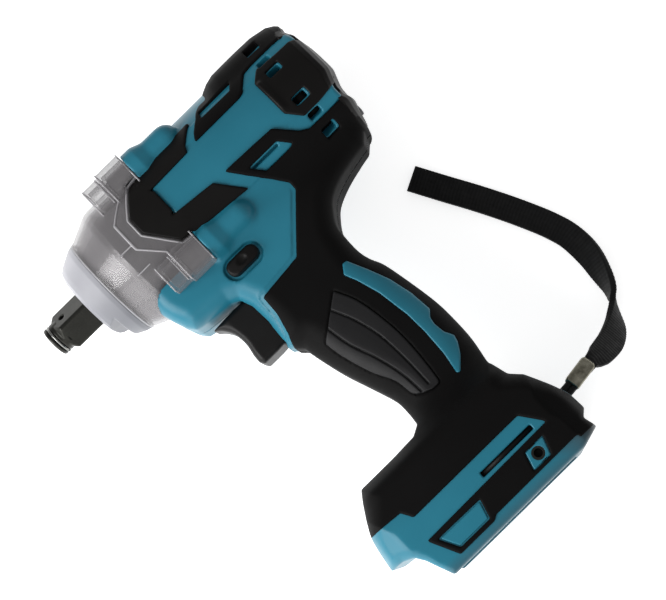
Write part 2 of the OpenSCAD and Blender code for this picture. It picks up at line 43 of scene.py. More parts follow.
# ---------------------------------------------------------------- camera
# working axes in millimetres: x forward, h up, s out of the left side
def W(x, h, s):
    return Vector(((x - XO) / 1000.0, -h / 1000.0, s / 1000.0))

def make_camera():
    C = np.array([-9.0, -184.0, 600.0]); A = np.array([-9.0, -67.0, 0.0]); roll = math.radians(44.5)
    fw = (A - C) / np.linalg.norm(A - C)
    X = np.array([1.0, 0, 0]); X -= fw * (X @ fw); X /= np.linalg.norm(X)
    U = np.cross(X, fw)
    if U[1] < 0: U = -U
    r = -math.cos(roll) * X - math.sin(roll) * U
    dn = math.sin(roll) * X - math.cos(roll) * U
    m = lambda v: Vector((v[0], -v[1], v[2]))
    ax, ay, az = m(r), m(-dn), m(-fw)
    assert ax.cross(ay).dot(az) > 0.99
    cam = bpy.data.objects.new("camera", bpy.data.cameras.new("camera"))
    cam.data.sensor_width = 36.0
    cam.data.lens = 36.0 * 1560.0 / 666.0
    cam.matrix_world = Matrix.Translation(W(*C)) @ Matrix((ax, ay, az)).transposed().to_4x4()
    cam.data.clip_start, cam.data.clip_end = 0.01, 20
    COL.objects.link(cam)
    bpy.context.scene.camera = cam
make_camera()

# ---------------------------------------------------------------- materials
def new_mat(name):
    m = bpy.data.materials.new(name); m.use_nodes = True
    nt = m.node_tree
    b = next(n for n in nt.nodes if n.type == "BSDF_PRINCIPLED")
    return m, nt, b

def tex_coord(nt):
    return nt.nodes.new("ShaderNodeTexCoord").outputs["Object"]

def noise(nt, scale, detail=3.0, rough=0.5, vec=None, dist=0.0):
    n = nt.nodes.new("ShaderNodeTexNoise")
    n.inputs["Scale"].default_value = scale
    n.inputs["Detail"].default_value = detail
    n.inputs["Roughness"].default_value = rough
    n.inputs["Distortion"].default_value = dist
    nt.links.new(vec if vec is not None else tex_coord(nt), n.inputs["Vector"])
    return n.outputs["Fac"]

def ramp(nt, fac, stops):
    r = nt.nodes.new("ShaderNodeValToRGB")
    e = r.color_ramp.elements
    while len(e) < len(stops): e.new(0.5)
    for i, (p, c) in enumerate(stops):
        e[i].position = p; e[i].color = (*c, 1.0) if len(c) == 3 else c
    nt.links.new(fac, r.inputs["Fac"])
    return r.outputs["Color"]

def maprange(nt, fac, a, b, c, d):
    n = nt.nodes.new("ShaderNodeMapRange")
    for k, v in zip(("From Min", "From Max", "To Min", "To Max"), (a, b, c, d)):
        n.inputs[k].default_value = v
    nt.links.new(fac, n.inputs["Value"])
    return n.outputs["Result"]

def bump(nt, b, height, strength, dist, prev=None):
    n = nt.nodes.new("ShaderNodeBump")
    n.inputs["Strength"].default_value = strength
    n.inputs["Distance"].default_value = dist
    nt.links.new(height, n.inputs["Height"])
    if prev is not None: nt.links.new(prev, n.inputs["Normal"])
    nt.links.new(n.outputs["Normal"], b.inputs["Normal"])
    return n.outputs["Normal"]

def plastic(name, dark, light, rough=(0.34, 0.44), grain=2600.0, gstr=0.25, spec=0.5, coat=0.0, wear=None):
    m, nt, b = new_mat(name)
    blotch = noise(nt, 38.0, 4.0)
    col = ramp(nt, blotch, [(0.3, dark), (0.7, light)])
    if wear is not None:
        g = nt.nodes.new("ShaderNodeNewGeometry")
        edge = maprange(nt, g.outputs["Pointiness"], 0.505, 0.56, 0.0, 0.55)
        mx = nt.nodes.new("ShaderNodeMix"); mx.data_type = "RGBA"
        nt.links.new(edge, mx.inputs["Factor"]); nt.links.new(col, mx.inputs["A"])
        mx.inputs["B"].default_value = (*wear, 1)
        col = mx.outputs["Result"]
    nt.links.new(col, b.inputs["Base Color"])
    nt.links.new(maprange(nt, noise(nt, 90.0, 5.0), 0.25, 0.75, *rough), b.inputs["Roughness"])
    b.inputs["Specular IOR Level"].default_value = spec
    b.inputs["Coat Weight"].default_value = coat
    b.inputs["Coat Roughness"].default_value = 0.25
    n1 = bump(nt, b, noise(nt, grain, 2.0), gstr, 0.00006)
    bump(nt, b, noise(nt, 220.0, 2.0), 0.10, 0.00012, n1)
    return m

def metal(name, dark, light, rough=(0.22, 0.36), scale=(1, 1, 1), freq=900.0, bstr=0.15, aniso=0.0):
    m, nt, b = new_mat(name)
    mp = nt.nodes.new("ShaderNodeMapping"); mp.inputs["Scale"].default_value = scale
    nt.links.new(tex_coord(nt), mp.inputs["Vector"])
    f = noise(nt, freq, 5.0, 0.6, mp.outputs["Vector"])
    nt.links.new(ramp(nt, f, [(0.3, dark), (0.7, light)]), b.inputs["Base Color"])
    b.inputs["Metallic"].default_value = 1.0
    b.inputs["Anisotropic"].default_value = aniso
    nt.links.new(maprange(nt, noise(nt, 120.0, 5.0), 0.3, 0.7, *rough), b.inputs["Roughness"])
    bump(nt, b, f, bstr, 0.00003)
    return m

MAT = {}
MAT["teal"] = plastic("teal plastic", (0.013, 0.148, 0.214), (0.017, 0.166, 0.238), (0.30, 0.40), 3000.0, 0.20, 0.28)
MAT["rubber"] = plastic("black rubber", (0.0026, 0.0024, 0.0024), (0.0038, 0.0036, 0.0036), (0.54, 0.66), 3400.0, 0.4, 0.07)
MAT["cover"] = plastic("cover black", (0.0036, 0.0032, 0.0030), (0.0052, 0.0047, 0.0044), (0.38, 0.48), 3000.0, 0.3, 0.13)
MAT["grip"] = plastic("grip rubber", (0.0046, 0.0045, 0.0050), (0.0072, 0.0070, 0.0078), (0.46, 0.58), 4200.0, 0.8, 0.24)
MAT["trigger"] = plastic("trigger plastic", (0.0034, 0.0032, 0.0032), (0.0050, 0.0047, 0.0047), (0.36, 0.46), 3000.0, 0.12, 0.2)
MAT["panel"] = plastic("panel plastic", (0.02, 0.02, 0.022), (0.03, 0.03, 0.033), (0.2, 0.3), 2000.0, 0.1, 0.5)
MAT["black_steel"] = metal("black oxide steel", (0.032, 0.032, 0.029), (0.040, 0.040, 0.036), (0.28, 0.38), (1, 1, 1), 1500.0, 0.10)
MAT["steel"] = metal("ground steel", (0.40, 0.40, 0.41), (0.52, 0.52, 0.53), (0.2, 0.35), (1, 1, 8), 600.0, 0.15)
MAT["ring"] = metal("spring steel", (0.16, 0.16, 0.15), (0.26, 0.26, 0.25), (0.2, 0.3))
MAT["alloy"] = metal("cast alloy", (0.190, 0.185, 0.188), (0.235, 0.229, 0.232), (0.315, 0.39), (3, 1, 1), 90.0, 0.02, 0.0)
MAT["screw"] = metal("screw steel", (0.09, 0.09, 0.095), (0.16, 0.16, 0.165), (0.28, 0.4))
MAT["brass"] = metal("brass", (0.48, 0.33, 0.13), (0.62, 0.44, 0.20), (0.25, 0.4))
MAT["copper"] = metal("enamelled copper", (0.42, 0.15, 0.06), (0.56, 0.22, 0.09), (0.2, 0.3))
MAT["pewter"] = metal("pewter", (0.13, 0.122, 0.092), (0.32, 0.305, 0.245), (0.20, 0.36), (1, 1, 1), 420.0, 0.3)
MAT["board"] = plastic("circuit board", (0.01, 0.09, 0.04), (0.015, 0.13, 0.06), (0.2, 0.3), 1500.0, 0.1, 0.5)
MAT["leads"] = plastic("lead insulation", (0.28, 0.03, 0.02), (0.34, 0.04, 0.03), (0.3, 0.4), 1500.0, 0.1, 0.5)

def clear_mat(name, tint, body, edge, rough, spec=0.5):
    """moulded see-through plastic: thin looking face on, denser and brighter along its edges"""
    m, nt, b = new_mat(name)
    f = noise(nt, 70.0, 4.0)
    nt.links.new(ramp(nt, f, [(0.3, tuple(t * 0.93 for t in tint)), (0.7, tint)]), b.inputs["Base Color"])
    lw = nt.nodes.new("ShaderNodeLayerWeight"); lw.inputs["Blend"].default_value = 0.35
    a = maprange(nt, lw.outputs["Facing"], 0.0, 1.0, body, edge)
    nt.links.new(a, b.inputs["Alpha"])
    nt.links.new(maprange(nt, noise(nt, 160.0, 3.0), 0.3, 0.7, rough[0], rough[1]), b.inputs["Roughness"])
    b.inputs["IOR"].default_value = 1.5
    b.inputs["Specular IOR Level"].default_value = spec
    bump(nt, b, noise(nt, 60.0, 2.0), 0.10, 0.0003)
    return m
MAT["clear"] = clear_mat("clear plastic", (0.30, 0.287, 0.298), 0.25, 0.80, (0.05, 0.10), spec=0.45)
MAT["milky"] = clear_mat("milky plastic", (0.45, 0.45, 0.485), 0.90, 1.0, (0.34, 0.46), spec=0.35)
def place(nt, axis, a, b, c, d):
    """0..1 across a stretch of the tool, from the piece's own coordinates in metres"""
    sep = nt.nodes.new("ShaderNodeSeparateXYZ"); nt.links.new(tex_coord(nt), sep.inputs[0])
    return maprange(nt, sep.outputs[axis], a, b, c, d)
def calc(nt, op, a, b):
    n = nt.nodes.new("ShaderNodeMath"); n.operation = op
    nt.links.new(a, n.inputs[0]); nt.links.new(b, n.inputs[1])
    return n.outputs[0]
def retint(m, fac, colour):
    """mixes a second colour into the base colour where fac says"""
    nt = m.node_tree; b = next(n for n in nt.nodes if n.type == "BSDF_PRINCIPLED")
    src = b.inputs["Base Color"].links[0].from_socket
    mx = nt.nodes.new("ShaderNodeMix"); mx.data_type = "RGBA"
    nt.links.new(fac, mx.inputs["Factor"])
    ins = [i for i in mx.inputs if i.type == "RGBA"]
    nt.links.new(src, ins[0]); ins[1].default_value = (*colour, 1)
    nt.links.new([o for o in mx.outputs if o.type == "RGBA"][0], b.inputs["Base Color"])
# painted shade: the teal is darkened and greyed along the foot's bottom edge, and also towards the heel
nt = MAT["teal"].node_tree
low = calc(nt, "MULTIPLY", place(nt, "Y", 0.1710, 0.1755, 0.0, 0.50), maprange(nt, noise(nt, 60.0, 4.0), 0.3, 0.7, 0.75, 1.0))
heel = calc(nt, "MULTIPLY", place(nt, "X", -0.086, -0.104, 0.0, 0.85), place(nt, "Y", 0.160, 0.1665, 0.0, 1.0))
retint(MAT["teal"], calc(nt, "MAXIMUM", low, heel), (0.050, 0.046, 0.045))
nt = MAT["milky"].node_tree
# painted shade: the milky nose cap is darkened towards its lower side
retint(MAT["milky"], place(nt, "Y", -0.013, 0.017, 0.0, 0.95), (0.155, 0.160, 0.178))
# lighter, denser clear plastic for the bumper's beads and ribs: painted highlight of their bright edges
MAT["rim"] = clear_mat("clear rim painted highlight", (0.50, 0.49, 0.51), 0.62, 0.85, (0.10, 0.2), spec=0.6)
MAT["lens"] = clear_mat("lens plastic", (0.55, 0.55, 0.50), 0.6, 0.95, (0.05, 0.1))

def web_mat():
    m, nt, b = new_mat("webbing")
    at = nt.nodes.new("ShaderNodeAttribute"); at.attribute_name = "weave"
    col = ramp(nt, at.outputs["Fac"], [(0.0, (0.0018, 0.0018, 0.002)), (1.0, (0.0075, 0.0075, 0.0078))])
    nt.links.new(col, b.inputs["Base Color"])
    nt.links.new(maprange(nt, noise(nt, 300.0, 4.0), 0.3, 0.7, 0.62, 0.8), b.inputs["Roughness"])
    b.inputs["Sheen Weight"].default_value = 0.06
    b.inputs["Sheen Roughness"].default_value = 0.5
    b.inputs["Specular IOR Level"].default_value = 0.2
    bump(nt, b, noise(nt, 2600.0, 3.0), 0.6, 0.00015)
    return m
MAT["web"] = web_mat()

# ---------------------------------------------------------------- mesh tools
def add_mesh(name, verts, faces, mat, body="housing", flip=None, smooth=True):
    """verts in working millimetres; the winding is set from the signed volume"""
    v = np.asarray(verts, float)
    P = np.stack([(v[:, 0] - XO) / 1000.0, -v[:, 1] / 1000.0, v[:, 2] / 1000.0], 1)
    f = np.asarray(faces, int)
    tri = f[:, :3]
    a, b, c = P[tri[:, 0]], P[tri[:, 1]], P[tri[:, 2]]
    vol = np.einsum("ij,ij->i", a - P.mean(0), np.cross(b - P.mean(0), c - P.mean(0))).sum()
    if flip is None: flip = vol < 0
    if flip: f = f[:, ::-1]
    me = bpy.data.meshes.new(name)
    n, k = f.shape
    me.vertices.add(len(P)); me.vertices.foreach_set("co", P.astype(F4).ravel())
    me.loops.add(n * k); me.loops.foreach_set("vertex_index", f.astype(np.int32).ravel())
    me.polygons.add(n)
    me.polygons.foreach_set("loop_start", np.arange(0, n * k, k, dtype=np.int32))
    me.update(calc_edges=True); me.validate()
    if smooth: me.polygons.foreach_set("use_smooth", np.ones(len(me.polygons), bool))
    me.materials.append(mat)
    ob = bpy.data.objects.new(name, me); COL.objects.link(ob)
    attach(ob, body)
    return ob

def smin(a, b, k):
    h = np.clip(0.5 + 0.5 * (b - a) / k, 0, 1)
    return b + (a - b) * h - k * h * (1 - h)
def smax(a, b, k): return -smin(-a, -b, k)
def rint(a, b, r):
    return np.minimum(np.maximum(a, b), -r) + np.hypot(np.maximum(a + r, 0), np.maximum(b + r, 0))
def runi(a, b, r): return -rint(-a, -b, r)
def cutr(a, b, r): return rint(a, -b, r)
def sst(e0, e1, x):
    t = np.clip((x - e0) / (e1 - e0), 0, 1); return t * t * (3 - 2 * t)

def surface(f, lo, hi, step, name="", project=3):
    """mesh of f < 0 by surface nets on the cells near the surface, then moved onto f = 0"""
    step = step * COARSE
    B = 8
    n = [int(math.ceil((hi[i] - lo[i]) / step / B)) * B + 1 for i in range(3)]
    ax = [(lo[i] + step * np.arange(n[i])).astype(F4) for i in range(3)]
    nb = [(n[i] - 1) // B for i in range(3)]
    ctr = [lo[i] + step * (B * np.arange(nb[i]) + B / 2.0) for i in range(3)]
    gx, gy, gz = np.meshgrid(*[c.astype(F4) for c in ctr], indexing="ij")
    fc = f(gx.ravel(), gy.ravel(), gz.ravel()).reshape(gx.shape)
    u0, u1, u2 = gx.ravel(), gy.ravel(), gz.ravel()
    gn = np.sqrt((f(u0 + 0.5, u1, u2) - f(u0 - 0.5, u1, u2)) ** 2 + (f(u0, u1 + 0.5, u2) - f(u0, u1 - 0.5, u2)) ** 2 + (f(u0, u1, u2 + 0.5) - f(u0, u1, u2 - 0.5)) ** 2)
    act = np.abs(fc) / np.clip(gn.reshape(gx.shape), 1.0, 4.0) < step * B * 0.87 * 1.35 + 0.6
    S = np.where(fc < 0, F4(-9), F4(9))
    F = np.empty(n, F4)
    ix = [np.minimum(np.arange(n[i]) // B, nb[i] - 1) for i in range(3)]
    F[:] = S[np.ix_(*ix)]
    M = np.zeros(n, bool)
    for (i, j, k) in np.argwhere(act):
        M[i * B:i * B + B + 1, j * B:j * B + B + 1, k * B:k * B + B + 1] = True
    I = np.flatnonzero(M.ravel())
    i0 = I // (n[1] * n[2]); r = I - i0 * (n[1] * n[2]); j0 = r // n[2]; k0 = r - j0 * n[2]
    Ff = F.ravel()
    CH = 1200000
    for c in range(0, len(I), CH):
        q = slice(c, c + CH)
        Ff[I[q]] = f(ax[0][i0[q]], ax[1][j0[q]], ax[2][k0[q]])
    F = Ff.reshape(n)
    for a in range(3):  # close at the box
        sl = [slice(None)] * 3
        for e in (0, -1):
            sl[a] = e; F[tuple(sl)] = np.maximum(F[tuple(sl)], 0.01)
    neg = F < 0
    cn = np.zeros([m - 1 for m in n], np.uint8)
    for dx in (0, 1):
        for dy in (0, 1):
            for dz in (0, 1):
                cn += neg[dx:n[0] - 1 + dx, dy:n[1] - 1 + dy, dz:n[2] - 1 + dz]
    mixed = (cn > 0) & (cn < 8)
    C = np.argwhere(mixed)
    idx = np.full(mixed.shape, -1, np.int32); idx[mixed] = np.arange(len(C))
    acc = np.zeros((len(C), 3)); cnt = np.zeros(len(C))
    for a in range(3):
        o = [b for b in range(3) if b != a]
        for u in (0, 1):
            for v in (0, 1):
                p = C.copy(); p[:, o[0]] += u; p[:, o[1]] += v
                q = p.copy(); q[:, a] += 1
                fa = F[p[:, 0], p[:, 1], p[:, 2]]; fb = F[q[:, 0], q[:, 1], q[:, 2]]
                x = (fa < 0) != (fb < 0)
                t = fa[x] / (fa[x] - fb[x])
                P = p[x].astype(float); P[:, a] += t
                acc[x] += P; cnt[x] += 1
    V = acc / cnt[:, None] * step + np.array(lo)[None]
    quads = []
    for a in range(3):
        o = [b for b in range(3) if b != a]
        A = [slice(None)] * 3; A[a] = slice(0, n[a] - 1)
        Bs = [slice(None)] * 3; Bs[a] = slice(1, n[a])
        ch = neg[tuple(A)] != neg[tuple(Bs)]
        E = np.argwhere(ch)
        E = E[(E[:, o[0]] > 0) & (E[:, o[0]] < n[o[0]] - 1) & (E[:, o[1]] > 0) & (E[:, o[1]] < n[o[1]] - 1)]
        cs = []
        for (u, v) in ((0, 0), (1, 0), (1, 1), (0, 1)):
            p = E.copy(); p[:, o[0]] -= u; p[:, o[1]] -= v
            cs.append(idx[p[:, 0], p[:, 1], p[:, 2]])
        Q = np.stack(cs, 1)
        s = neg[E[:, 0], E[:, 1], E[:, 2]]
        if a == 1: s = ~s
        Q[s] = Q[s][:, ::-1]
        quads.append(Q)
    Q = np.concatenate(quads)
    e = 0.02
    lim = 0.6 * step
    V0 = V.copy()
    for it in range(project):
        x, y, z = V.T.astype(float)
        d = f(x, y, z)
        g = np.stack([f(x + e, y, z) - f(x - e, y, z), f(x, y + e, z) - f(x, y - e, z), f(x, y, z + e) - f(x, y, z - e)], 1) / (2 * e)
        gg = np.maximum((g * g).sum(1), 0.25)
        V = V - g * (d / gg)[:, None] * 0.9
        D = V - V0
        L = np.linalg.norm(D, axis=1)
        k = np.where(L > lim, lim / np.maximum(L, 1e-9), 1.0)
        V = V0 + D * k[:, None]
    return V, Q

def sd_poly(X, Y, P):
    P = np.asarray(P, float)
    d = np.full(X.shape, 1e9); ins = np.zeros(X.shape, bool)
    for a, b in zip(P, np.roll(P, -1, 0)):
        e = b - a
        if e @ e < 1e-12: continue
        wx, wy = X - a[0], Y - a[1]
        t = np.clip((wx * e[0] + wy * e[1]) / (e @ e), 0, 1)
        d = np.minimum(d, (wx - t * e[0]) ** 2 + (wy - t * e[1]) ** 2)
        c = (a[1] <= Y) != (b[1] <= Y)
        if abs(e[1]) > 1e-12:
            ins ^= c & (X < a[0] + (Y - a[1]) * e[0] / e[1])
    return np.where(ins, -1.0, 1.0) * np.sqrt(d)

def sd_line(X, Y, P):
    P = np.asarray(P, float); d = np.full(X.shape, 1e9)
    for a, b in zip(P[:-1], P[1:]):
        e = b - a; wx, wy = X - a[0], Y - a[1]
        t = np.clip((wx * e[0] + wy * e[1]) / (e @ e), 0, 1)
        d = np.minimum(d, (wx - t * e[0]) ** 2 + (wy - t * e[1]) ** 2)
    return np.sqrt(d)

class Map2D:
    def __init__(self, fn, x0, x1, y0, y1, step=0.3, blur=0):
        self.x0, self.y0, self.st = x0, y0, step
        xs = np.arange(x0, x1 + step, step); ys = np.arange(y0, y1 + step, step)
        A = fn(*np.meshgrid(xs, ys, indexing="ij"))
        for _ in range(blur):
            for ax in (0, 1):
                p = np.pad(A, [(1, 1) if i == ax else (0, 0) for i in range(2)], mode="edge")
                A = (np.take(p, range(0, A.shape[ax]), ax) + 2 * A + np.take(p, range(2, A.shape[ax] + 2), ax)) / 4
        self.A = np.ascontiguousarray(A.astype(F4)); self.n = A.shape
    def __call__(self, u, v):
        fu = np.clip((u - self.x0) / self.st, 0, self.n[0] - 1.001)
        fv = np.clip((v - self.y0) / self.st, 0, self.n[1] - 1.001)
        i = fu.astype(np.int32); j = fv.astype(np.int32)
        fu = fu - i; fv = fv - j
        A = self.A
        return (A[i, j] * (1 - fu) + A[i + 1, j] * fu) * (1 - fv) + (A[i, j + 1] * (1 - fu) + A[i + 1, j + 1] * fu) * fv

def spline(P, n=6):
    P = [np.array(p, float) for p in P]
    Q = [2 * P[0] - P[1]] + P + [2 * P[-1] - P[-2]]
    out = []
    for i in range(1, len(Q) - 2):
        a, b, c, d = Q[i - 1:i + 3]
        for k in range(n):
            t = k / n
            out.append(0.5 * ((2 * b) + (c - a) * t + (2 * a - 5 * b + 4 * c - d) * t * t + (3 * b - a - 3 * c + d) * t ** 3))
    out.append(P[-1])
    return out

def soften(P, c=1.2, it=3):
    P = [np.array(p, float) for p in P]
    for k in range(it):
        out = []; n = len(P)
        for i in range(n):
            a, b = P[i], P[(i + 1) % n]; L = np.linalg.norm(b - a)
            t = min(0.25, c / max(L, 1e-6)); out += [a + (b - a) * t, b + (a - b) * t]
        P = out; c *= 0.45
    return P

# ---------------------------------------------------------------- shapes of the shells
NECK = [(42.3,-18),(42.3,-27.3),(41,-32),(39.1,-37),(36.8,-40.1),(34.1,-40.8),(20,-41.9),(16.7,-43.6),(15.0,-48.6),(15.0,-57),(16.2,-65),(16.4,-70.3),
        (12.1,-74.5),(11,-80.2),(8.25,-91.3),(4.5,-102.3),(1.55,-111.2),(0.7,-116),(0.7,-121.8),(1.1,-126.6),(5.3,-129.5),(10,-140),(-34,-140),(-33.6,-133),
        (-33.9,-128.3),(-36.4,-116.9),(-37,-106),(-36.7,-96.2),(-34.7,-82.4),(-32.7,-72.5),(-30.4,-67.2),(-29.2,-61.7),(-29.4,-54.3),(-30.2,-49.2),
        (-33.4,-44.2),(-37.7,-39.9),(-45.5,-36.6),(-54.3,-34.5),(-60.2,-33.4),(-64,-29.5),(-64,-14),(42.3,-14)]
FOOT = [(33,-129.5),(37.9,-137.5),(41.3,-143.4),(42.6,-146.2),(44,-152),(45.3,-159.3),(39.3,-159.8),(35.2,-161.7),(32.8,-165.4),(28.7,-176),(-36.4,-176),(-45.2,-173.4),
        (-43.8,-168.2),(-47,-165.5),(-46.8,-158),(-44.5,-152.2),(-39.7,-141.6),(-35.8,-137.3),(-34,-129.5)]
D = 0.52360  # millimetres of arc per degree at 30 mm
def arc(P): return [(p[0], p[1] * D) for p in P]
P_U = arc([(25,9),(17,31.3),(10.6,34),(10,34.6),(-16,39),(-17,38),(-10,22.5),(-8.7,17),(11.9,15.6),(10.6,12.5),(10.6,-7.5),(12.1,-10.6),(-7.5,-14.4),(-16.2,-36.5),
           (10,-31.9),(10.6,-29.8),(16,-28.7),(25,-5)])
P_SAD = arc([(-13.75,18.7),(-15.6,25),(-20,35),(-21.9,42.5),(-25.6,55),(-29.4,72.5),(-29.5,110),(-78,110),(-78,35),(-67.5,34),(-60,35),(-50,34.8),(-45.6,33.5),(-40,20.5),(-37.5,19)])
P_SADP = arc([(-22.5,38),(-39.5,38.5),(-37,30.5),(-22,31)])
P_CAP = arc([(-45.5,-15),(-45.5,18),(-50,27),(-58.8,24.6),(-80,23),(-80,-24.4),(-67.5,-24.6),(-58.8,-26.6),(-50.5,-26.9)])
P_LOW = [(-13.75,-7.4),(-18.75,-13.9),(-25,-21),(-28.75,-26),(-28.5,-29.5),(-10.5,-48.5),(9.5,-50.5),(10,-58.5),(12.4,-67),(15.8,-73.5),(30,-80),(60,-100),
         (60,-145.6),(41,-145.8),(27.5,-147),(25,-151.5),(-27,-151.5),(-33,-160),(27.5,-160.8),(22,-172.4),(5,-172.4),(3,-171.2),(-37.5,-171),(-40,-180),(-90,-180),(-90,-18.4),
         (-67,-17.5),(-58.75,-17.6),(-48.75,-17.5),(-45,-15.5),(-38,-8.2)]
P_LOWP = [(-21.5,-12.7),(-36,-12.7),(-40,-17),(-37.5,-17.6),(-25.6,-17.6),(-22,-13.5)]
P_LABEL = [(24.2,-163),(3.5,-163.3),(5.7,-170.6),(20.2,-170.6)]
P_HOOK = [(-19.6,-162.6),(-28.6,-162.6),(-26,-169.6),(-17.4,-169.6)]
P_BLADE = [(-18.6,-66.5),(-21.2,-62.9),(-23.2,-63.0),(-26.6,-70.5),(-30.2,-79.6),(-32.2,-88.8),(-32.9,-98.4),(-30.6,-101.2),(-30,-104.1),(-30.5,-108.6),(-32.4,-112),
           (-31.6,-114.8),(-28.9,-119.2),(-24.2,-124.2),(-22.9,-123.4),(-24.6,-114.5),(-25.3,-103.5),(-25.1,-94.1),(-23.3,-80.7),(-20.7,-71.6)]

mp = lambda P, *b, step=0.3, blur=1: Map2D(lambda X, Y: sd_poly(X, Y, P), *b, step=step, blur=blur)
NECK = NECK[:12] + spline(NECK[12:19], 4) + NECK[19:24] + spline(NECK[24:39], 4) + NECK[39:]
M_NECK = mp(NECK, -80, 60, -145, -5, blur=3)
M_FOOT = mp(FOOT, -60, 60, -185, -115, blur=3)
M_U = mp(P_U, -30, 40, -40, 40, step=0.25, blur=2)
M_SAD = mp(P_SAD, -85, 0, -10, 60, blur=2)
M_SADP = mp(P_SADP, -50, -10, 5, 30, step=0.2, blur=2)
M_CAP = mp(P_CAP, -85, -35, -30, 30, blur=3)
M_LOW = mp(P_LOW, -95, 65, -185, 0, blur=2)
M_LOWP = mp(P_LOWP, -50, -10, -25, -5, step=0.2, blur=2)
M_LABEL = mp(P_LABEL, -5, 35, -180, -155, step=0.2, blur=2)
M_HOOK = mp(P_HOOK, -40, -5, -180, -155, step=0.2, blur=2)
M_BLADE = mp(P_BLADE, -45, -5, -135, -50, step=0.2, blur=2)

itp = lambda P: (lambda v, a=np.array(sorted(P)): np.interp(v, a[:, 0], a[:, 1]))
def smooth(P, w):
    """the same table with its corners averaged over w millimetres"""
    a = np.array(sorted(P), float)
    g = np.arange(a[0, 0] - 3 * w, a[-1, 0] + 3 * w, 0.25)
    y = np.interp(g, a[:, 0], a[:, 1])
    kk = np.exp(-0.5 * (np.arange(-3 * w, 3 * w + 0.01, 0.25) / w) ** 2); kk /= kk.sum()
    m = len(kk) // 2
    y = np.convolve(np.pad(y, m, mode="edge"), kk, mode="valid")[:len(g)]
    return lambda v: np.interp(v, g, y)
NW_H = smooth([(-6,23),(-18,22.5),(-30,21),(-35,20),(-40,19),(-50,17.5),(-75,16.8),(-100,17.6),(-125,17.7),(-141,19.5)], 4.0)
NW_X = smooth([(60,19),(46,21),(20,22.5),(0,22.2),(-30,19),(-68,13.5)], 6.0)
FW_H = smooth([(-120,20),(-129,28),(-134,33.3),(-146,36.1),(-151,37.4),(-160.5,37.4),(-161.8,36.7),(-172,36.6),(-177,35.8)], 0.8)
FW_X = smooth([(50,18),(48,22),(42,32.5),(34,37.6),(-36,37.6),(-44,33),(-48,24),(-50,20)], 1.2)
NR = itp([(-20,7),(-40,8),(-60,11),(-80,13.5),(-120,13.5),(-140,10)])
SAD = itp([(-28,28.6),(-29.5,29.4),(-33,31),(-37,32.0),(-44,32.1),(-50,32.1),(-58,31.9),(-65.7,30.6),(-68.4,28.9),(-70,27.1),(-71.2,24.6),(-71.9,22)])
SIDE = itp([(-60,30.3),(-64,30.2),(-66.4,29.9),(-68.6,28.4),(-70,26),(-71,23)])
BOSS = smooth([(-16,-3.5),(-12.9,-1),(-12.3,0.6),(-11.6,2.2),(-10.6,3.5),(-9.2,4.6),(-7.6,5.2),(-5.8,5.4),(1.0,5.4),(2.2,5.6),(6.4,7.2),(20,7.2)], 0.25)

SHIFT = smooth([(-36,2.7),(-30,2.8),(-26,2.6),(-20,2.0),(-17,1.4),(-15.4,1.4),(-13.6,2.6),(-9.5,2.7),(-8,2.1),(-6,1.4),(-4,0.6),(-2.5,0.1),(17.5,0.1),(20,1.0),(22,1.4),(24,0.5),(26,0.1),(28,0.3),(31,0.9)], 0.6)
def rearx(x, h, s):
    """the rear end is three bands, the cap standing furthest back and the lower lobe least"""
    return x - SHIFT(h + 0.13 * np.abs(s)) * sst(-58, -67, x)
def polar(h, s): return np.hypot(h, s), np.degrees(np.arctan2(h, np.abs(s)))
def neck(x, h, s, grow=0.0):
    w = smin(NW_H(h), NW_X(x), 3.0) + grow
    return rint(M_NECK(x, h) - grow, (np.abs(s) - w) * 0.98, NR(h))
def foot(x, h, s, thin=0.0):
    w = np.minimum(FW_H(h), FW_X(x)) - thin
    return rint(M_FOOT(x, h), (np.abs(s) - w) * 0.95, np.interp(h, [-176, -172, -169, -150, -138], [2.3, 2.1, 1.9, 5.0, 9.0]))
def bosses(x, h, s):
    dd = []
    for k in (1, -1):
        a = 30 * math.sqrt(0.5)
        dd.append(np.hypot(h - k * a, np.abs(s) - a) - BOSS(x))
    return rint(np.minimum(*dd) * 0.9, x - 11.3, 0.6)
def boxd(x, h, s, x0, x1, h0, h1, s0, s1, r=0.0):
    q = [np.abs(x - (x0 + x1) / 2) - (x1 - x0) / 2 + r, np.abs(h - (h0 + h1) / 2) - (h1 - h0) / 2 + r, np.abs(s - (s0 + s1) / 2) - (s1 - s0) / 2 + r]
    return np.sqrt(sum(np.maximum(v, 0) ** 2 for v in q)) + np.minimum(np.maximum(np.maximum(q[0], q[1]), q[2]), 0) - r
VENTS = [(28.8, 3.1), (15.2, 3.0), (-14.2, 3.3), (-30.9, 3.0), (-47.9, 4.1), (47, 4.0)]
def vents(x, r, t, grow=0.0, shift=0.0):
    d = None
    for a, hh in VENTS:
        q0 = np.abs(x + 54.2 + shift) - 2.9 - grow + 0.7; q1 = np.abs((t - a) * D + shift * 0.3) - hh * D - grow * 0.7 + 0.7
        e = np.hypot(np.maximum(q0, 0), np.maximum(q1, 0)) + np.minimum(np.maximum(q0, q1), 0) - 0.7
        d = e if d is None else np.minimum(d, e)
    return d
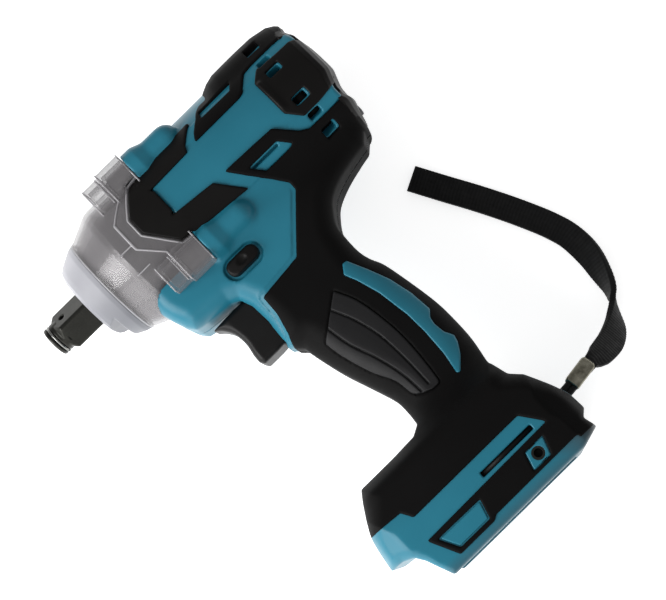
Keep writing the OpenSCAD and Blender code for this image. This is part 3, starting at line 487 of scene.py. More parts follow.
# hands of the shells: +1 left, -1 right
SCREWS = [(30,-37),(-26,-41),(-27,-76),(-7,-117),(-28,-126),(37,-147),(-38,-157)]
SEAT = [-14.2, -14.2, -10.9, -12.4, -13.0, -14.2, -14.2]
def screw_holes(x, h, s):
    d = np.full(np.shape(x), 50.0)
    for (a, b), z in zip(SCREWS, SEAT): d = np.minimum(d, np.maximum(np.hypot(x - a, h - b) - 3.1, s - z + 2.3))
    return d
def cuts(x, h, s, k):
    """everything hollow that both the shells and their rubber share"""
    a = np.abs(s)
    slot = np.minimum(boxd(x, h, s, -34, 90, -170.5, -162.5, -32, 32, 0.4), boxd(x, h, s, -34, 90, -190, -163, -26.5, 26.5, 0.4))
    c = np.minimum(slot, boxd(x, h, s, -0.6, 60, -68.4, -42.6, -8.9, 8.9, 1.0))
    c = np.minimum(c, boxd(x, h, s, 14, 31.5, -131.6, -120, -11, 11, 0.5))
    if k < 0: c = np.minimum(c, screw_holes(x, h, s))
    return c
def selector_rim(x, h):
    return np.hypot(np.maximum(np.abs(x - 5) - 4.2, 0), h + 35.4) - 4.5

def f_teal(x, h, s, k):
    r, t = polar(h, s)
    strip = sst(3.4, 2.6, np.abs(np.abs(t + 0.8) - 29.5) * D)
    xr = rearx(x, h, s)
    barrel = rint(r - np.minimum(29.3, SIDE(xr) - 1.3 + 3 * strip), np.maximum(x - 11.3, -69.0 - xr), 1.6)
    barrel = rint(barrel, x - 11.3, 0.5)
    d = smin(barrel, bosses(x, h, s), 1.6)
    zone = M_LOW(x, h)
    step = 0.4 * sst(1.9, 1.4, zone) * sst(-26, -31, h) * sst(-100, -90, h)
    d = smin(d, neck(x, h, s) + step, np.interp(h, [-40, -20, -10], [1, 5, 0.5]))
    d = np.maximum(d, np.minimum(SIL(x, h), np.maximum(np.abs(h) - 40, 20 - x)) * np.where(h < -15, 1.0, 0.0) - np.where(h < -15, 0.0, 99.0))
    d = np.minimum(d, foot(x, h, s, 0.8))
    d = cutr(d, cuts(x, h, s, k), 0.5)
    d = np.maximum(d, -np.maximum(vents(x, r, t), 24 - r))
    d = cutr(d, np.maximum(selector_rim(x, h), -(neck(x, h, s) + 1.2)), 0.5)
    # slot of the lower window, groove of the foot's band
    d = np.maximum(d, -boxd(x, (t + 28.2) * D, r, -35.6, -22, -0.65, 0.65, 26.5, 40, 0.3))
    d = cutr(d, boxd(x, h, np.abs(s), -28, -3, -158.8, -156.6, 34, 60, 0.3), 0.3)
    d = np.maximum(d, -np.maximum(np.hypot(x + 23, h + 166) - 3.4, 28.2 - np.abs(s)))
    # the nose side: room for the hammer case and its bumper
    d = np.maximum(d, -np.maximum(r - 29.6, 11.3 - x))
    d = np.maximum(d, -np.maximum(r - 21.9, 8.35 - x))
    d = np.maximum(d, -np.maximum(np.hypot(h + 33, s) - 3.4, 38.4 - x))
    return cutr(d, s * k - 0.06, 0.35)

def f_u(x, h, s):
    r, t = polar(h, s)
    d = rint(r - 30.2, M_U(x, t * D), 0.7)
    return np.maximum(d, 28.4 - r)
def f_saddle(x, h, s, k):
    r, t = polar(h, s)
    w = sst(34, 56, t)
    R = 30.2 * (1 - w) + SAD(x) * w
    xr = rearx(x, h, s)
    R = np.minimum(R, np.where(x < -60, SIDE(xr) * (1 - w) + SAD(xr) * w, 99))
    d = rint(r - R, M_SAD(x, t * D), 0.7)
    d = cutr(d, M_SADP(x, t * D), 0.6)
    d = cutr(d, np.maximum(vents(x, r, t, 0.45, 0.4), 27 - r), 0.4)
    d = np.maximum(d, 0.06 - s * k)
    return np.maximum(d, 27.6 - r - np.maximum(-66 - x, 0) * 3)
def SIL(x, h):
    return np.minimum(np.minimum(M_NECK(x, h), M_FOOT(x, h)), np.maximum(np.abs(h) - 30.0, -70.5 - x)) - 0.1
def skin(x, h, s):
    """the rubber over grip and foot"""
    o = smin(neck(x, h, s, 0.5), foot(x, h, s), np.interp(h, [-152, -142, -112, -104], [2.0, 15.0, 15.0, 2.0]))
    return rint(o, np.minimum(M_NECK(x, h), M_FOOT(x, h)) - 0.1, 0.8)
def f_low(x, h, s, k):
    r, t = polar(h, s)
    m = M_LOW(x, h)
    xr = rearx(x, h, s)
    bar = rint(r - np.minimum(30.3, SIDE(xr)), np.maximum(-72 - xr, x + 8), 0.5)
    nk = neck(x, h, s, 0.5)
    ft = foot(x, h, s)
    o = smin(nk, ft, np.interp(h, [-152, -142, -112, -104], [2.0, 15.0, 15.0, 2.0]))
    bl = rint(smin(bar, o, 6.0), SIL(x, h), 0.6)
    o = np.minimum(np.minimum(bar, rint(o, np.minimum(M_NECK(x, h), M_FOOT(x, h)) - 0.1, 0.8)), bl)
    d = rint(o, m, 0.7)
    d = cutr(d, M_LOWP(x, h), 0.6)
    d = cutr(d, np.maximum(vents(x, r, t, 0.45, 0.4), 27 - r), 0.4)
    d = cutr(d, cuts(x, h, s, k), 0.5)
    d = np.maximum(d, -np.maximum(np.maximum(M_PAD(x, h) - 0.2, -(skin(x, h, s) + 0.40)), 4 - np.abs(s)))
    d = cutr(d, np.maximum(M_LABEL(x, h), 34.9 - np.abs(s)), 0.4)
    d = cutr(d, np.maximum(M_HOOK(x, h), 34.9 - np.abs(s)), 0.4)
    d = np.maximum(d, -np.maximum(np.hypot(h + 156, s) - 3.5, x + 40))
    # only a skin over the shell
    inner = np.minimum(np.minimum(r - 28.0, neck(x, h, s) + 1.3), foot(x, h, s) + 2.4)
    d = np.maximum(d, -inner)
    return cutr(d, s * k - 0.06, 0.35)
def f_cover(x, h, s):
    r, t = polar(h, s)
    xr = rearx(x, h, s)
    P = np.interp(xr, [-72.4, -71.1, -70.3, -68.6, -66.4, -63], [15, 21, 25.6, 28.6, 30.0, 30.3])
    dome = np.maximum((r - P) * 0.75, np.maximum(-72.4 - xr, x + 64.5))
    # raised ring and the two screw seats of the end
    dome = cutr(dome, np.maximum(np.abs(r - 12.5) - 0.5, xr + 71.7), 0.3)
    dome = cutr(dome, np.maximum(np.hypot(np.abs(h) - 19, s) - 3.13, x + 68.9), 0.12)
    q = np.abs(np.abs(t + 0.8) - 29.5) * D - 2.3
    dome = cutr(dome, np.maximum(q, 25.0 - r), 0.6)
    wing = rint((r - np.minimum(30.3, P + 0.35)) * 0.85 - 0.8 * np.exp(-((x + 46.8) / 1.5) ** 2) * sst(17, 12, np.abs(t - 1)), np.maximum(M_CAP(x, t * D), -72.3 - xr), 0.7)
    wing = np.maximum(wing, np.where(x > -66, 27.8, 20.0) - r)
    d = np.minimum(dome, wing)
    d = cutr(d, np.maximum(vents(x, r, t, 0.45, 0.4), 27 - r), 0.4)
    return d

def near(V, Q, keep):
    """drops the faces that lie where keep is false"""
    c = V[Q].mean(1)
    Q = Q[keep(c[:, 0], c[:, 1], c[:, 2])]
    used = np.unique(Q); m = np.full(len(V), -1); m[used] = np.arange(len(used))
    return V[used], m[Q]

def mirror(V): return V * np.array([1, 1, -1.0])

G1 = [(5,-80.3),(3.7,-88.2),(0,-100.3),(-4.2,-109.2),(-5.5,-117.1),(-8.9,-119.2)]
G2 = [(0.2,-76.6),(-1.6,-87.1),(-5.3,-97.6),(-7.9,-108.2),(-8.6,-115.5),(-8.7,-119)]
G3 = [(-5.5,-72.2),(-9.5,-81.8),(-12.1,-92.4),(-12.9,-105),(-12.6,-118.7)]
G4 = [(-11.6,-67.6),(-15.8,-77.6),(-18.1,-92.4),(-18.2,-105),(-16.8,-118.7),(-15.8,-121.8)]
PAD = spline([(5,-80.3),(3.7,-88.2),(0,-100.3),(-4.2,-109.2),(-5.5,-117.1),(-8.9,-120.2)]) + [(-12.4,-121.6)] + spline(G4[::-1]) + spline([(-11.6,-67.6),(-5.5,-72.2),(0.2,-76.6),(3.7,-79)])
M_PAD = mp(PAD, -30, 20, -135, -55, step=0.2, blur=1)
def glines(X, Y):
    return np.minimum.reduce([sd_line(X, Y, spline(g)) for g in (G2, G3)])
M_RIB = Map2D(glines, -30, 20, -135, -55, step=0.2)
def f_pad(x, h, s):
    m = M_PAD(x, h)
    g = M_RIB(x, h)
    n = skin(x, h, s)
    d = n - 0.30 + 0.75 * np.exp(-(g / 0.34) ** 2) - 0.12 * (1 - np.exp(-(g / 2.2) ** 2))
    d = rint(d, m + 0.3, 0.45)
    return np.maximum(np.maximum(d, -(n + 1.3)), 6 - np.abs(s))
def f_blade(x, h, s):
    n = skin(x, h, s)
    d = rint(n - 0.45, M_BLADE(x, h), 0.6)
    return np.maximum(np.maximum(d, -(n + 1.4)), 4 - np.abs(s))
def f_label(x, h, s):
    d = rint(foot(x, h, s) + 0.25, M_LABEL(x, h) + 0.5, 0.4)
    return np.maximum(d, 34 - np.abs(s))
def f_hook(x, h, s):
    d = rint(foot(x, h, s) + 0.1, M_HOOK(x, h) + 0.25, 0.4)
    d = cutr(d, np.hypot(x + 23, h + 166) - 2.3, 0.4)
    return np.maximum(d, 33 - np.abs(s))

P_TRIG = spline([(33.4,-43.4),(30.4,-46),(27.9,-50.5),(27.2,-56.5),(28.2,-62)], 4) + [(28.4,-65.4),(27.1,-67.4),(19.6,-67.4),(9.4,-66.6),(8.4,-46.8),(14,-43.2)]
M_TRIG = mp(P_TRIG, 0, 45, -75, -35, step=0.2, blur=3)
def f_trigger(x, h, s):
    w = np.interp(x, [8, 26, 30, 34], [8.4, 8.3, 7.6, 6.4])
    d = rint(M_TRIG(x, h), np.abs(s) - w, 2.6)
    stem = np.maximum(np.hypot(h + 55, s) - 3.0, np.maximum(-1.4 - x, x - 12))
    return np.minimum(d, stem)
def f_select(x, h, s):
    q = np.hypot(np.maximum(np.abs(x - 5) - 4.3, 0), h + 35.3) - 3.15
    d = rint(q, np.abs(s) - 23.0 + 0.10 * np.hypot(x - 5, h + 35.3) ** 1.4 * 0.5, 1.2)
    # two finger dimples on each end
    return np.maximum(d, -(np.hypot(np.hypot(x - 5, (h + 35.3) * 1.4), (np.abs(s) - 27.0)) - 4.9))

BR = itp([(11.3,28.4),(36.4,28.4),(39,27.9),(43,26.0),(49.8,22.9)])
def chev(t):
    return np.interp(t, [-90, -27, -10, 15, 30, 90], [23.2, 23.2, 31, 31, 23.2, 23.2])
def f_bumper(x, h, s):
    r, t = polar(h, s)
    e = sst(-0.5, 0.5, chev(t) - x)
    R = BR(x) + 1.1 * e
    out = (r - R) * 0.9
    c = 30 * math.sqrt(0.5)
    bx = None
    for kh in (1, -1):
        u, v = np.abs(h - kh * c), np.abs(np.abs(s) - c)
        b1 = rint(rint(u - 7.3, v - 7.0, 2.2), np.maximum(x - 23.6, 11.6 - x), 0.5)
        b2 = rint(rint(u - 6.2, v - 6.2, 1.8), np.maximum(x - 31.6, 11.6 - x), 0.5)
        b = np.minimum(b1, b2)
        bx = b if bx is None else np.minimum(bx, b)
    solid = smin(out, bx, 0.8)
    solid = rint(solid, np.maximum(x - 49.8, 11.45 - x), 0.4)
    # end lip
    solid = np.minimum(solid, rint(np.abs(r - 22.0) - 1.0, np.abs(x - 49.4) - 0.7, 0.3))
    inner = r - np.maximum(BR(x) - 1.72, 10)
    bi = None
    for kh in (1, -1):
        u, v = np.abs(h - kh * c), np.abs(np.abs(s) - c)
        b1 = np.maximum(rint(u - 5.4, v - 5.2, 1.2), x - 22.2)
        b2 = np.maximum(rint(u - 4.5, v - 4.5, 1.0), x - 30.2)
        b = np.minimum(b1, b2)
        bi = b if bi is None else np.minimum(bi, b)
    d = cutr(solid, np.minimum(np.maximum(inner, x - 49.0), bi), 0.3)
    # opening for the black side tongues, with a raised rim
    m = M_U(x, t * D)
    d = cutr(d, np.maximum(m - 0.5, 24 - r), 0.3)
    return d
def f_rim(x, h, s):
    """raised bead along the tongue's opening and the flange line, and the two short ribs; built in the lighter rim
    plastic, a painted highlight along these edges
    """
    r, t = polar(h, s)
    m = M_U(x, t * D)
    bead = rint(np.abs(m - 0.95) - 0.35, np.abs(r - 29.9) - 0.55, 0.25)
    bead = np.maximum(bead, 11.6 - x)
    fl = np.abs(x - chev(t)) * np.where((t > -27) & (t < 30), 0.8, 1.0)
    fl = rint(fl - 0.38, np.abs(r - 29.2) - 0.75, 0.25)
    fl = np.maximum(fl, np.maximum(t - 31, -30 - t) * 0.5)
    rb = None
    for a in (-5, -25):
        q = rint(np.maximum(np.abs((t - a) * D) - 0.3, np.abs(x - 34.5) - 3.4), np.abs(r - 28.4) - 0.5, 0.2)
        rb = q if rb is None else np.minimum(rb, q)
    c = 30 * math.sqrt(0.5)
    out = np.minimum(np.minimum(bead, fl), rb)
    for kh in (1, -1):
        u, v = h * kh - c, np.abs(s) - c
        for hu, hv, x1, x0 in ((7.3, 7.0, 23.6, 11.6), (6.2, 6.2, 31.6, 24.2)):
            a, b, e = np.abs(np.abs(u) - hu + 0.45), np.abs(np.abs(v) - hv + 0.45), np.minimum(np.abs(x - x1 + 0.35), np.abs(x - x0 - 0.35))
            fr = np.minimum(np.hypot(b, e) - 0.30, np.hypot(a, e) - 0.30)
            fr = np.maximum(fr, np.maximum(np.abs(u) - hu + 1.0, np.abs(v) - hv + 1.0) * np.where(np.minimum(a, b) > 5, 0, 1) - 1.0)
            fr = np.maximum(fr, -(np.hypot(h, s) - BR(x) + 0.2))
            out = np.minimum(out, np.maximum(fr, np.maximum(np.abs(u) - hu - 0.1, np.abs(v) - hv - 0.1)))
    return out
NP = [(50.15,22.9),(52.5,22.4),(55.4,20.9),(58.6,19.2),(60.4,17.9),(61.6,15.6),(62.0,12.45)]
NO = itp(NP)
def f_nose(x, h, s):
    r = np.hypot(h, s)
    o = np.maximum((r - NO(x)) * 0.85, np.maximum(x - 61.9, 50.15 - x))
    o = rint(o, 50.15 - x, 0.4)
    o = cutr(o, np.maximum(56.8 - x, h + 14.2), 0.5)
    o = np.maximum(o, 12.4 - r)
    return np.maximum(o, -np.maximum(r - np.interp(x, [50.2, 57.1, 59], [20.2, 14.3, 12.4]), x - 58.8))
def f_anvil(x, h, s):
    r = np.hypot(h, s)
    sq = rint((np.abs(h + s)) / math.sqrt(2) - 6.35, (np.abs(h - s)) / math.sqrt(2) - 6.35, 0.5)
    sq = rint(sq, r - 8.45, 0.4)
    sq = rint(sq, np.maximum((r + x - 84.4) * 0.707, x - 78.2), 0.3)
    tip = rint(r - 6.5, x - 82.6, 0.9)
    neckr = np.where((x > 79.3) & (x < 81.1), r - 5.5, -50)
    bar = np.minimum(np.maximum(sq, 60.5 - x), np.maximum(np.maximum(tip, neckr), 76 - x))
    sh = rint(r - 9.3, np.maximum(x - 62.0, 44 - x), 0.6)
    d = runi(bar, sh, 0.5)
    a = 6.35
    # detent hole through two flats
    d = cutr(d, np.hypot(x - 72.9, (h - s) / math.sqrt(2) + 0.5) - 1.35, 0.25)
    return d
def f_ring(x, h, s):
    r = np.hypot(h, s)
    d = np.hypot(r - 6.05, (x - 80.2)) - 0.62
    return np.maximum(d, -(np.maximum(np.abs(s) - 0.7, h)))

# ---------------------------------------------------------------- building
def build(name, f, lo, hi, step, mat, body="housing", cads=(), keep=None, project=3):
    V, Q = surface(f, lo, hi, step, name, project)
    if keep is not None: V, Q = near(V, Q, keep)
    ob = add_mesh(name, V, Q, mat, body, flip=FLIP)
    if cads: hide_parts(*cads)
    return ob
FLIP = None

k = 1
def shell_side(k, word):
    lo = lambda a, b, c: (a, b, -0.2 if k > 0 else -c)
    L = lambda x0, x1, h0, h1, s1: ((x0, h0, -0.3 if k > 0 else -s1), (x1, h1, s1 if k > 0 else 0.3))
    a, b = L(-69, 46, -178, 31, 38.5)
    visible = lambda x, h, s: (s * k > 0.16)
    t = build(word + "_housing_shell", lambda x, h, s: f_teal(x, h, s, k), a, b, 0.645, MAT["teal"], cads=(word + "_housing",), keep=visible)
    a, b = L(-73.5, 60, -172.5, -3, 38.5)
    c = build(word + "_overmould_lower", lambda x, h, s: f_low(x, h, s, k), a, b, 0.6, MAT["rubber"], cads=(word + "_grip_rubber",),
              keep=lambda x, h, s: (s * k > 0.16) & ((np.minimum(np.minimum(np.hypot(h, s) - 28.0, neck(x, h, s) + 1.3), foot(x, h, s) + 2.2)) > 0.15))
    a, b = L(-73, -12, 5, 34, 32)
    build(word + "_overmould_saddle", lambda x, h, s: f_saddle(x, h, s, k), a, b, 0.42, MAT["rubber"], keep=lambda x, h, s: (np.hypot(h, s) > 27.75))
    ss = (20, 31) if k > 0 else (-31, -20)
    build(word + "_overmould_block", f_u, (-19, -20, ss[0]), (27, 19, ss[1]), 0.36, MAT["cover"], keep=lambda x, h, s: (np.hypot(h, s) > 28.5))
    ss = (5, 20) if k > 0 else (-20, -5)
    build(word + "_grip_pad", f_pad, (-20, -123, ss[0]), (7, -65, ss[1]), 0.34, MAT["grip"])
    build(word + "_grip_blade", f_blade, (-35, -126, ss[0]), (-16, -60, ss[1]), 0.4, MAT["teal"])
    ss = (33.5, 38.2) if k > 0 else (-38.2, -33.5)
    build(word + "_foot_plate", f_label, (2, -172, ss[0]), (26, -161, ss[1]), 0.35, MAT["teal"])
    build(word + "_hook_plate", f_hook, (-30, -171, 32.5 if k > 0 else -38.2), (-16, -161, 38.2 if k > 0 else -32.5), 0.3, MAT["teal"])
shell_side(1, "left")
shell_side(-1, "right")
build("rear_cover_shell", f_cover, (-72.8, -32, -32), (-44, 32, 32), 0.5, MAT["cover"], cads=("rear_cover",), keep=lambda x, h, s: (np.hypot(h, s) > 28) | (x < -66))
build("trigger_shell", f_trigger, (-3, -70, -10), (36, -41, 10), 0.42, MAT["trigger"], body="trigger", cads=("trigger",))
build("selector_bar", f_select, (-4, -40, -24), (14, -31, 24), 0.45, MAT["cover"], body="selector", cads=("direction_selector",))
build("bumper_shell", f_bumper, (10.5, -31, -31), (51.5, 31, 31), 0.52, MAT["clear"], cads=("clear_bumper",))
# bumper beads, ribs and boss frames in the lighter rim plastic: painted highlight
build("bumper_ribs", f_rim, (10.5, -30, -30), (39, 30, 30), 0.24, MAT["rim"])
build("nose_shell", f_nose, (49.5, -24, -24), (63, 24, 24), 0.42, MAT["milky"], cads=("nose_cover",))
build("drive_anvil", f_anvil, (43, -10.5, -10.5), (83.5, 10.5, 10.5), 0.3, MAT["black_steel"], body="anvil", cads=("square_drive_anvil",))
build("anvil_ring", f_ring, (79, -7.5, -7.5), (81.5, 7.5, 7.5), 0.2, MAT["ring"], body="anvil", cads=("friction_ring",))

def f_lens(x, h, s):
    r = np.hypot(h + 33, s)
    return rint(r - 3.1, np.maximum(x - 39.6 - 0.8 * np.exp(-(r / 1.6) ** 2), 35 - x), 0.3)
build("lamp_lens", f_lens, (34.5, -37, -4), (41, -29, 4), 0.25, MAT["lens"], cads=("led_lens",))

# screws: domed heads with a cross recess, and socket heads on the hammer case
def f_cross(r, top):
    def f(u, v, w):
        q = np.hypot(u, v)
        d = rint(q - r, np.maximum(w - top + 0.06 * q * q, -w), 0.22)
        taper = 0.35 * (top - w)
        c = np.minimum(np.maximum(np.abs(u) - 0.42, np.abs(v) - 1.75 + taper), np.maximum(np.abs(v) - 0.42, np.abs(u) - 1.75 + taper))
        return cutr(d, np.maximum(np.minimum(c, q - 0.75 + 0.3 * taper), top - 1.35 - w), 0.08)
    return f
def f_socket(r, top):
    def f(u, v, w):
        q = np.hypot(u, v)
        d = rint(q - r, np.maximum(w - top, -w), 0.35)
        hexa = np.maximum(np.abs(v), 0.5 * np.abs(v) + 0.866 * np.abs(u)) - 1.9
        d = cutr(d, np.maximum(hexa, top - 2.0 - w), 0.15)
        return d + 0.05 * np.cos(np.arctan2(v, u) * 36) * (q > r - 0.6)
    return f
def screws(name, f, r, top, places, mat, cads, step=0.15):
    """places: centre of the seat and the axes u, v, w"""
    V, Q = surface(f, (-r - 0.4, -r - 0.4, -0.3), (r + 0.4, r + 0.4, top + 0.4), step)
    VV, QQ = [], []
    for c, u, v, w in places:
        QQ.append(Q + sum(len(a) for a in VV))
        VV.append(np.array(c, float) + V @ np.array([u, v, w], float))
    ob = add_mesh(name, np.concatenate(VV), np.concatenate(QQ), mat)
    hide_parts(*cads)
def turned(w, a, b, deg):
    c, q = math.cos(math.radians(deg)), math.sin(math.radians(deg))
    a, b = np.array(a, float), np.array(b, float)
    return (a * c + b * q, -a * q + b * c, w)
screws("rear_cover_screw_heads", f_cross(3.0, 1.45), 3.0, 1.45, [((-68.9, hh, 0), *turned((-1, 0, 0), (0, 1, 0), (0, 0, -1), dg)) for hh, dg in ((19, 20), (-19, 65))],
       MAT["screw"], ("rear_cover_screws",))
screws("housing_screw_heads", f_cross(2.85, 2.3), 2.85, 2.3, [((a, b, SEAT[i]), *turned((0, 0, -1), (1, 0, 0), (0, -1, 0), 17 + 29 * i)) for i, (a, b) in enumerate(SCREWS)],
       MAT["screw"], ("housing_screws",))
q0 = 30 * math.sqrt(0.5)
screws("case_screw_heads", f_socket(3.7, 3.4), 3.7, 3.4, [((21.5, a * q0, b * q0), *turned((1, 0, 0), (0, 1, 0), (0, 0, 1), 25 * (a + 2 * b))) for a in (1, -1) for b in (1, -1)],
       MAT["screw"], ("case_screws",))

def f_eye(x, h, s):
    q = np.hypot(h + 156, s)
    d = rint(q - 3.4, np.maximum(x + 38, -46.3 - x), 0.6)
    return cutr(d, np.maximum(np.hypot(np.maximum(np.abs(h + 156) - 1.1, 0), s) - 1.4, x + 45.2), 0.3)
build("cord_eye", f_eye, (-47, -160, -4), (-37, -152, 4), 0.25, MAT["cover"], cads=("lanyard_anchor",))
def f_panel(x, h, s):
    d = boxd(x, h, s, 14.4, 31.1, -131.5, -129.35, -10.6, 10.6, 0.6)
    d = cutr(d, boxd(x, h, s, 15.4, 30.1, -129.75, -128, -9.6, 9.6, 0.2), 0.12)
    for c in (-5.2, 5.2):
        d = np.minimum(d, rint(boxd(x, h, s, 17.2, 23.8, -131, -128, c - 3.4, c + 3.4, 1.0), h + 129.2 + 0.012 * ((x - 20.5) ** 2 + (s - c) ** 2), 0.25))
        d = cutr(d, np.maximum(np.hypot(x - 20.5, s - c) - 1.1, -129.4 - h), 0.12)
    return d
build("mode_panel_face", f_panel, (13.8, -132, -11.2), (31.7, -128.8, 11.2), 0.25, MAT["panel"], cads=("mode_panel",))
def f_dots(x, h, s):
    d = np.full(np.shape(x), 50.0)
    for c in (-6, -2, 2, 6): d = np.minimum(d, np.sqrt((x - 27.3) ** 2 + (s - c) ** 2 + (1.6 * (h + 129.9)) ** 2) - 0.85)
    return np.maximum(d, -130.3 - h)
build("mode_panel_lamps", f_dots, (26, -131, -7.5), (28.6, -128.9, 7.5), 0.13, MAT["lens"])
def torus(name, x, R, r, mat, n=160, m=14):
    V = [(x + r * math.sin(2 * math.pi * j / m), (R + r * math.cos(2 * math.pi * j / m)) * math.sin(2 * math.pi * i / n), (R + r * math.cos(2 * math.pi * j / m)) * math.cos(2 * math.pi * i / n))
         for i in range(n) for j in range(m)]
    Q = [(i * m + j, i * m + (j + 1) % m, ((i + 1) % n) * m + (j + 1) % m, ((i + 1) % n) * m + j) for i in range(n) for j in range(m)]
    return add_mesh(name, V, Q, mat)
# bead round the bumper's front end in the lighter rim plastic: painted highlight line
torus("bumper_edge", 49.9, 22.75, 0.42, MAT["rim"])

def slab(name, x0, x1, h0, h1, s0, s1, mat, body="housing"):
    V = [(x, h, q) for x in (x0, x1) for h in (h0, h1) for q in (s0, s1)]
    Q = [(0, 1, 3, 2), (4, 6, 7, 5), (0, 4, 5, 1), (2, 3, 7, 6), (0, 2, 6, 4), (1, 5, 7, 3)]
    return add_mesh(name, V, Q, mat, body, smooth=False)
# dark slab at the bottom of the foot's side groove: painted shade in the groove
for q, wd in ((1, "left"), (-1, "right")):
    slab(wd + "_band_groove_shade", -28.2, -2.8, -159, -156.4, q * 33.9, q * 35.4, MAT["cover"])
def tube_ring(x0, x1, r0, r1, n=128):
    V = []; Q = []
    for j, (x, r) in enumerate([(x0, r0), (x1, r0), (x1, r1), (x0, r1)]):
        for i in range(n):
            a = 2 * math.pi * i / n; V.append((x, r * math.sin(a), r * math.cos(a)))
    for j in range(4):
        for i in range(n): Q.append((j * n + i, ((j + 1) % 4) * n + i, ((j + 1) % 4) * n + (i + 1) % n, j * n + (i + 1) % n))
    return V, Q
# dark drum behind the vent holes: painted shade of the hollow inside the housing
V, Q = tube_ring(-61, -49, 24.4, 24.9)
add_mesh("vent_shade_liner", V, Q, MAT["cover"], "housing", smooth=False)

# ---------------------------------------------------------------- wrist strap
ROUTE = [(-60.8,-154.2,-5.4,180),(-63.6,-153.9,-6.4,180),(-66.7,-154.2,-9,180),(-70.7,-154,-13,176),(-75.2,-153.2,-18,165),(-79.3,-151.5,-22.5,150),(-83.1,-149,-26.5,130),
         (-86.5,-145.4,-29.8,108),(-89.9,-140.6,-31.8,88),(-92.6,-135.2,-31.7,68),(-94.4,-129,-32.2,50),(-95.9,-122.6,-33.1,33),(-96.5,-115.9,-34.3,18),
         (-96.1,-109.2,-35.2,7),(-94.5,-102.7,-36,0),(-92,-95.9,-36,0),(-87,-84.4,-36,0),(-80.9,-71.8,-36,0),(-74.4,-59.4,-36,0),
         (-68.1,-47.1,-36,0)]
def strap():
    S = np.array(spline(ROUTE, 12))
    P = S[:, :3]
    d = np.r_[0, np.cumsum(np.linalg.norm(np.diff(P, axis=0), axis=1))]
    step = 0.36 * COARSE
    n = int(d[-1] / step)
    u = np.linspace(0, d[-1], n + 1)
    C = np.stack([np.interp(u, d, P[:, i]) for i in range(3)], 1)
    tilt = np.radians(np.interp(u, d, S[:, 3]))
    T = np.gradient(C, axis=0); T /= np.linalg.norm(T, axis=1)[:, None]
    up = np.array([0, 0, 1.0])
    f = np.cross(up, T); f /= np.linalg.norm(f, axis=1)[:, None]
    g = np.cross(T, f)
    A = f * np.cos(tilt)[:, None] + g * np.sin(tilt)[:, None]
    Bn = np.cross(T, A)
    w, th = 5.2, 1.28
    nip = np.interp(u, [0, 2.8, 5.5, 9.0, 14.0, 20.0], [0.50, 0.54, 0.72, 0.90, 0.97, 1.0])  # gathered where the clip holds it
    prof = []
    m = 18
    for i in range(m + 1): prof.append((w - 2 * w * i / m, th, 1.0))
    for a in (-1,): prof.append((-w - 0.28, th * 0.55, 0.4)); prof.append((-w - 0.12, 0.0, -1.0)); prof.append((-w - 0.28, -th * 0.55, 0.4))
    for i in range(m + 1): prof.append((-w + 2 * w * i / m, -th, 1.0))
    prof.append((w + 0.28, -th * 0.55, 0.4)); prof.append((w + 0.12, 0.0, -1.0)); prof.append((w + 0.28, th * 0.55, 0.4))
    K = len(prof); V = np.zeros((n + 1, K, 3)); att = np.zeros((n + 1, K))
    for j, (a, b, q) in enumerate(prof):
        ph = 2 * math.pi * (u / 1.45) + 1.1 * np.abs(a) / w * math.pi * 0.35
        wv = 0.5 + 0.5 * np.sin(ph)
        row = 0.5 + 0.5 * math.cos(a / w * math.pi * 5)
        e = q * (0.16 * wv + 0.03 * row) if q > 0.5 else 0.05 * wv
        fold = 1.0 + 0.35 * (1.0 - nip) * np.cos(a / w * math.pi * 1.5)
        bb = (b + np.sign(b) * (e - 0.12)) * fold
        V[:, j] = C + A * (a * nip)[:, None] + Bn * bb[:, None] if q > 0.5 else C + A * (a * nip + np.sign(a) * 0.06 * wv)[:, None] + Bn * b
        att[:, j] = 0.25 * row + 0.75 * wv if q > 0.5 else 0.35 + 0.4 * wv * (q > 0)
    Q = []
    idx = lambda i, j: i * K + (j % K)
    I, J = np.meshgrid(np.arange(n), np.arange(K), indexing="ij")
    Q = np.stack([I * K + J, I * K + (J + 1) % K, (I + 1) * K + (J + 1) % K, (I + 1) * K + J], -1).reshape(-1, 4)
    Vf = V.reshape(-1, 3); av = att.ravel()
    # closed ends: the folded end bulges a little
    ends = []
    for i, sg in ((0, -1), (n, 1)):
        c0 = len(Vf)
        rings = []
        for q, sc in ((0.45, 0.82), (0.75, 0.45)):
            R = C[i] + T[i] * sg * q + (V[i] - C[i]) * np.array([1, 1, 1]) * 1.0
            R = C[i] + T[i] * sg * q + (V[i] - C[i]) - Bn[i][None] * (((V[i] - C[i]) @ Bn[i]) * (1 - sc))[:, None]
            rings.append(R)
        Vf = np.concatenate([Vf] + rings); av = np.concatenate([av, att[i] * 0.8, att[i] * 0.6])
        prev = np.array([idx(i, j) for j in range(K)]); r1 = c0 + np.arange(K); r2 = r1 + K
        for a, b in ((prev, r1), (r1, r2)):
            q4 = np.stack([a, np.roll(a, -1), np.roll(b, -1), b], 1)
            ends.append(q4 if sg > 0 else q4[:, ::-1])
        cap = np.stack([r2, np.roll(r2, -1), np.full(K, len(Vf)), np.full(K, len(Vf))], 1)
        Vf = np.concatenate([Vf, [C[i] + T[i] * sg * 0.8]]); av = np.r_[av, 0.3]
        ends.append(cap if sg > 0 else cap[:, ::-1])
    tri = np.concatenate([q[:, [0, 1, 2]] for q in ends[2::3]] + [])
    quads = np.concatenate([Q] + ends)
    return Vf, quads, av, C, u

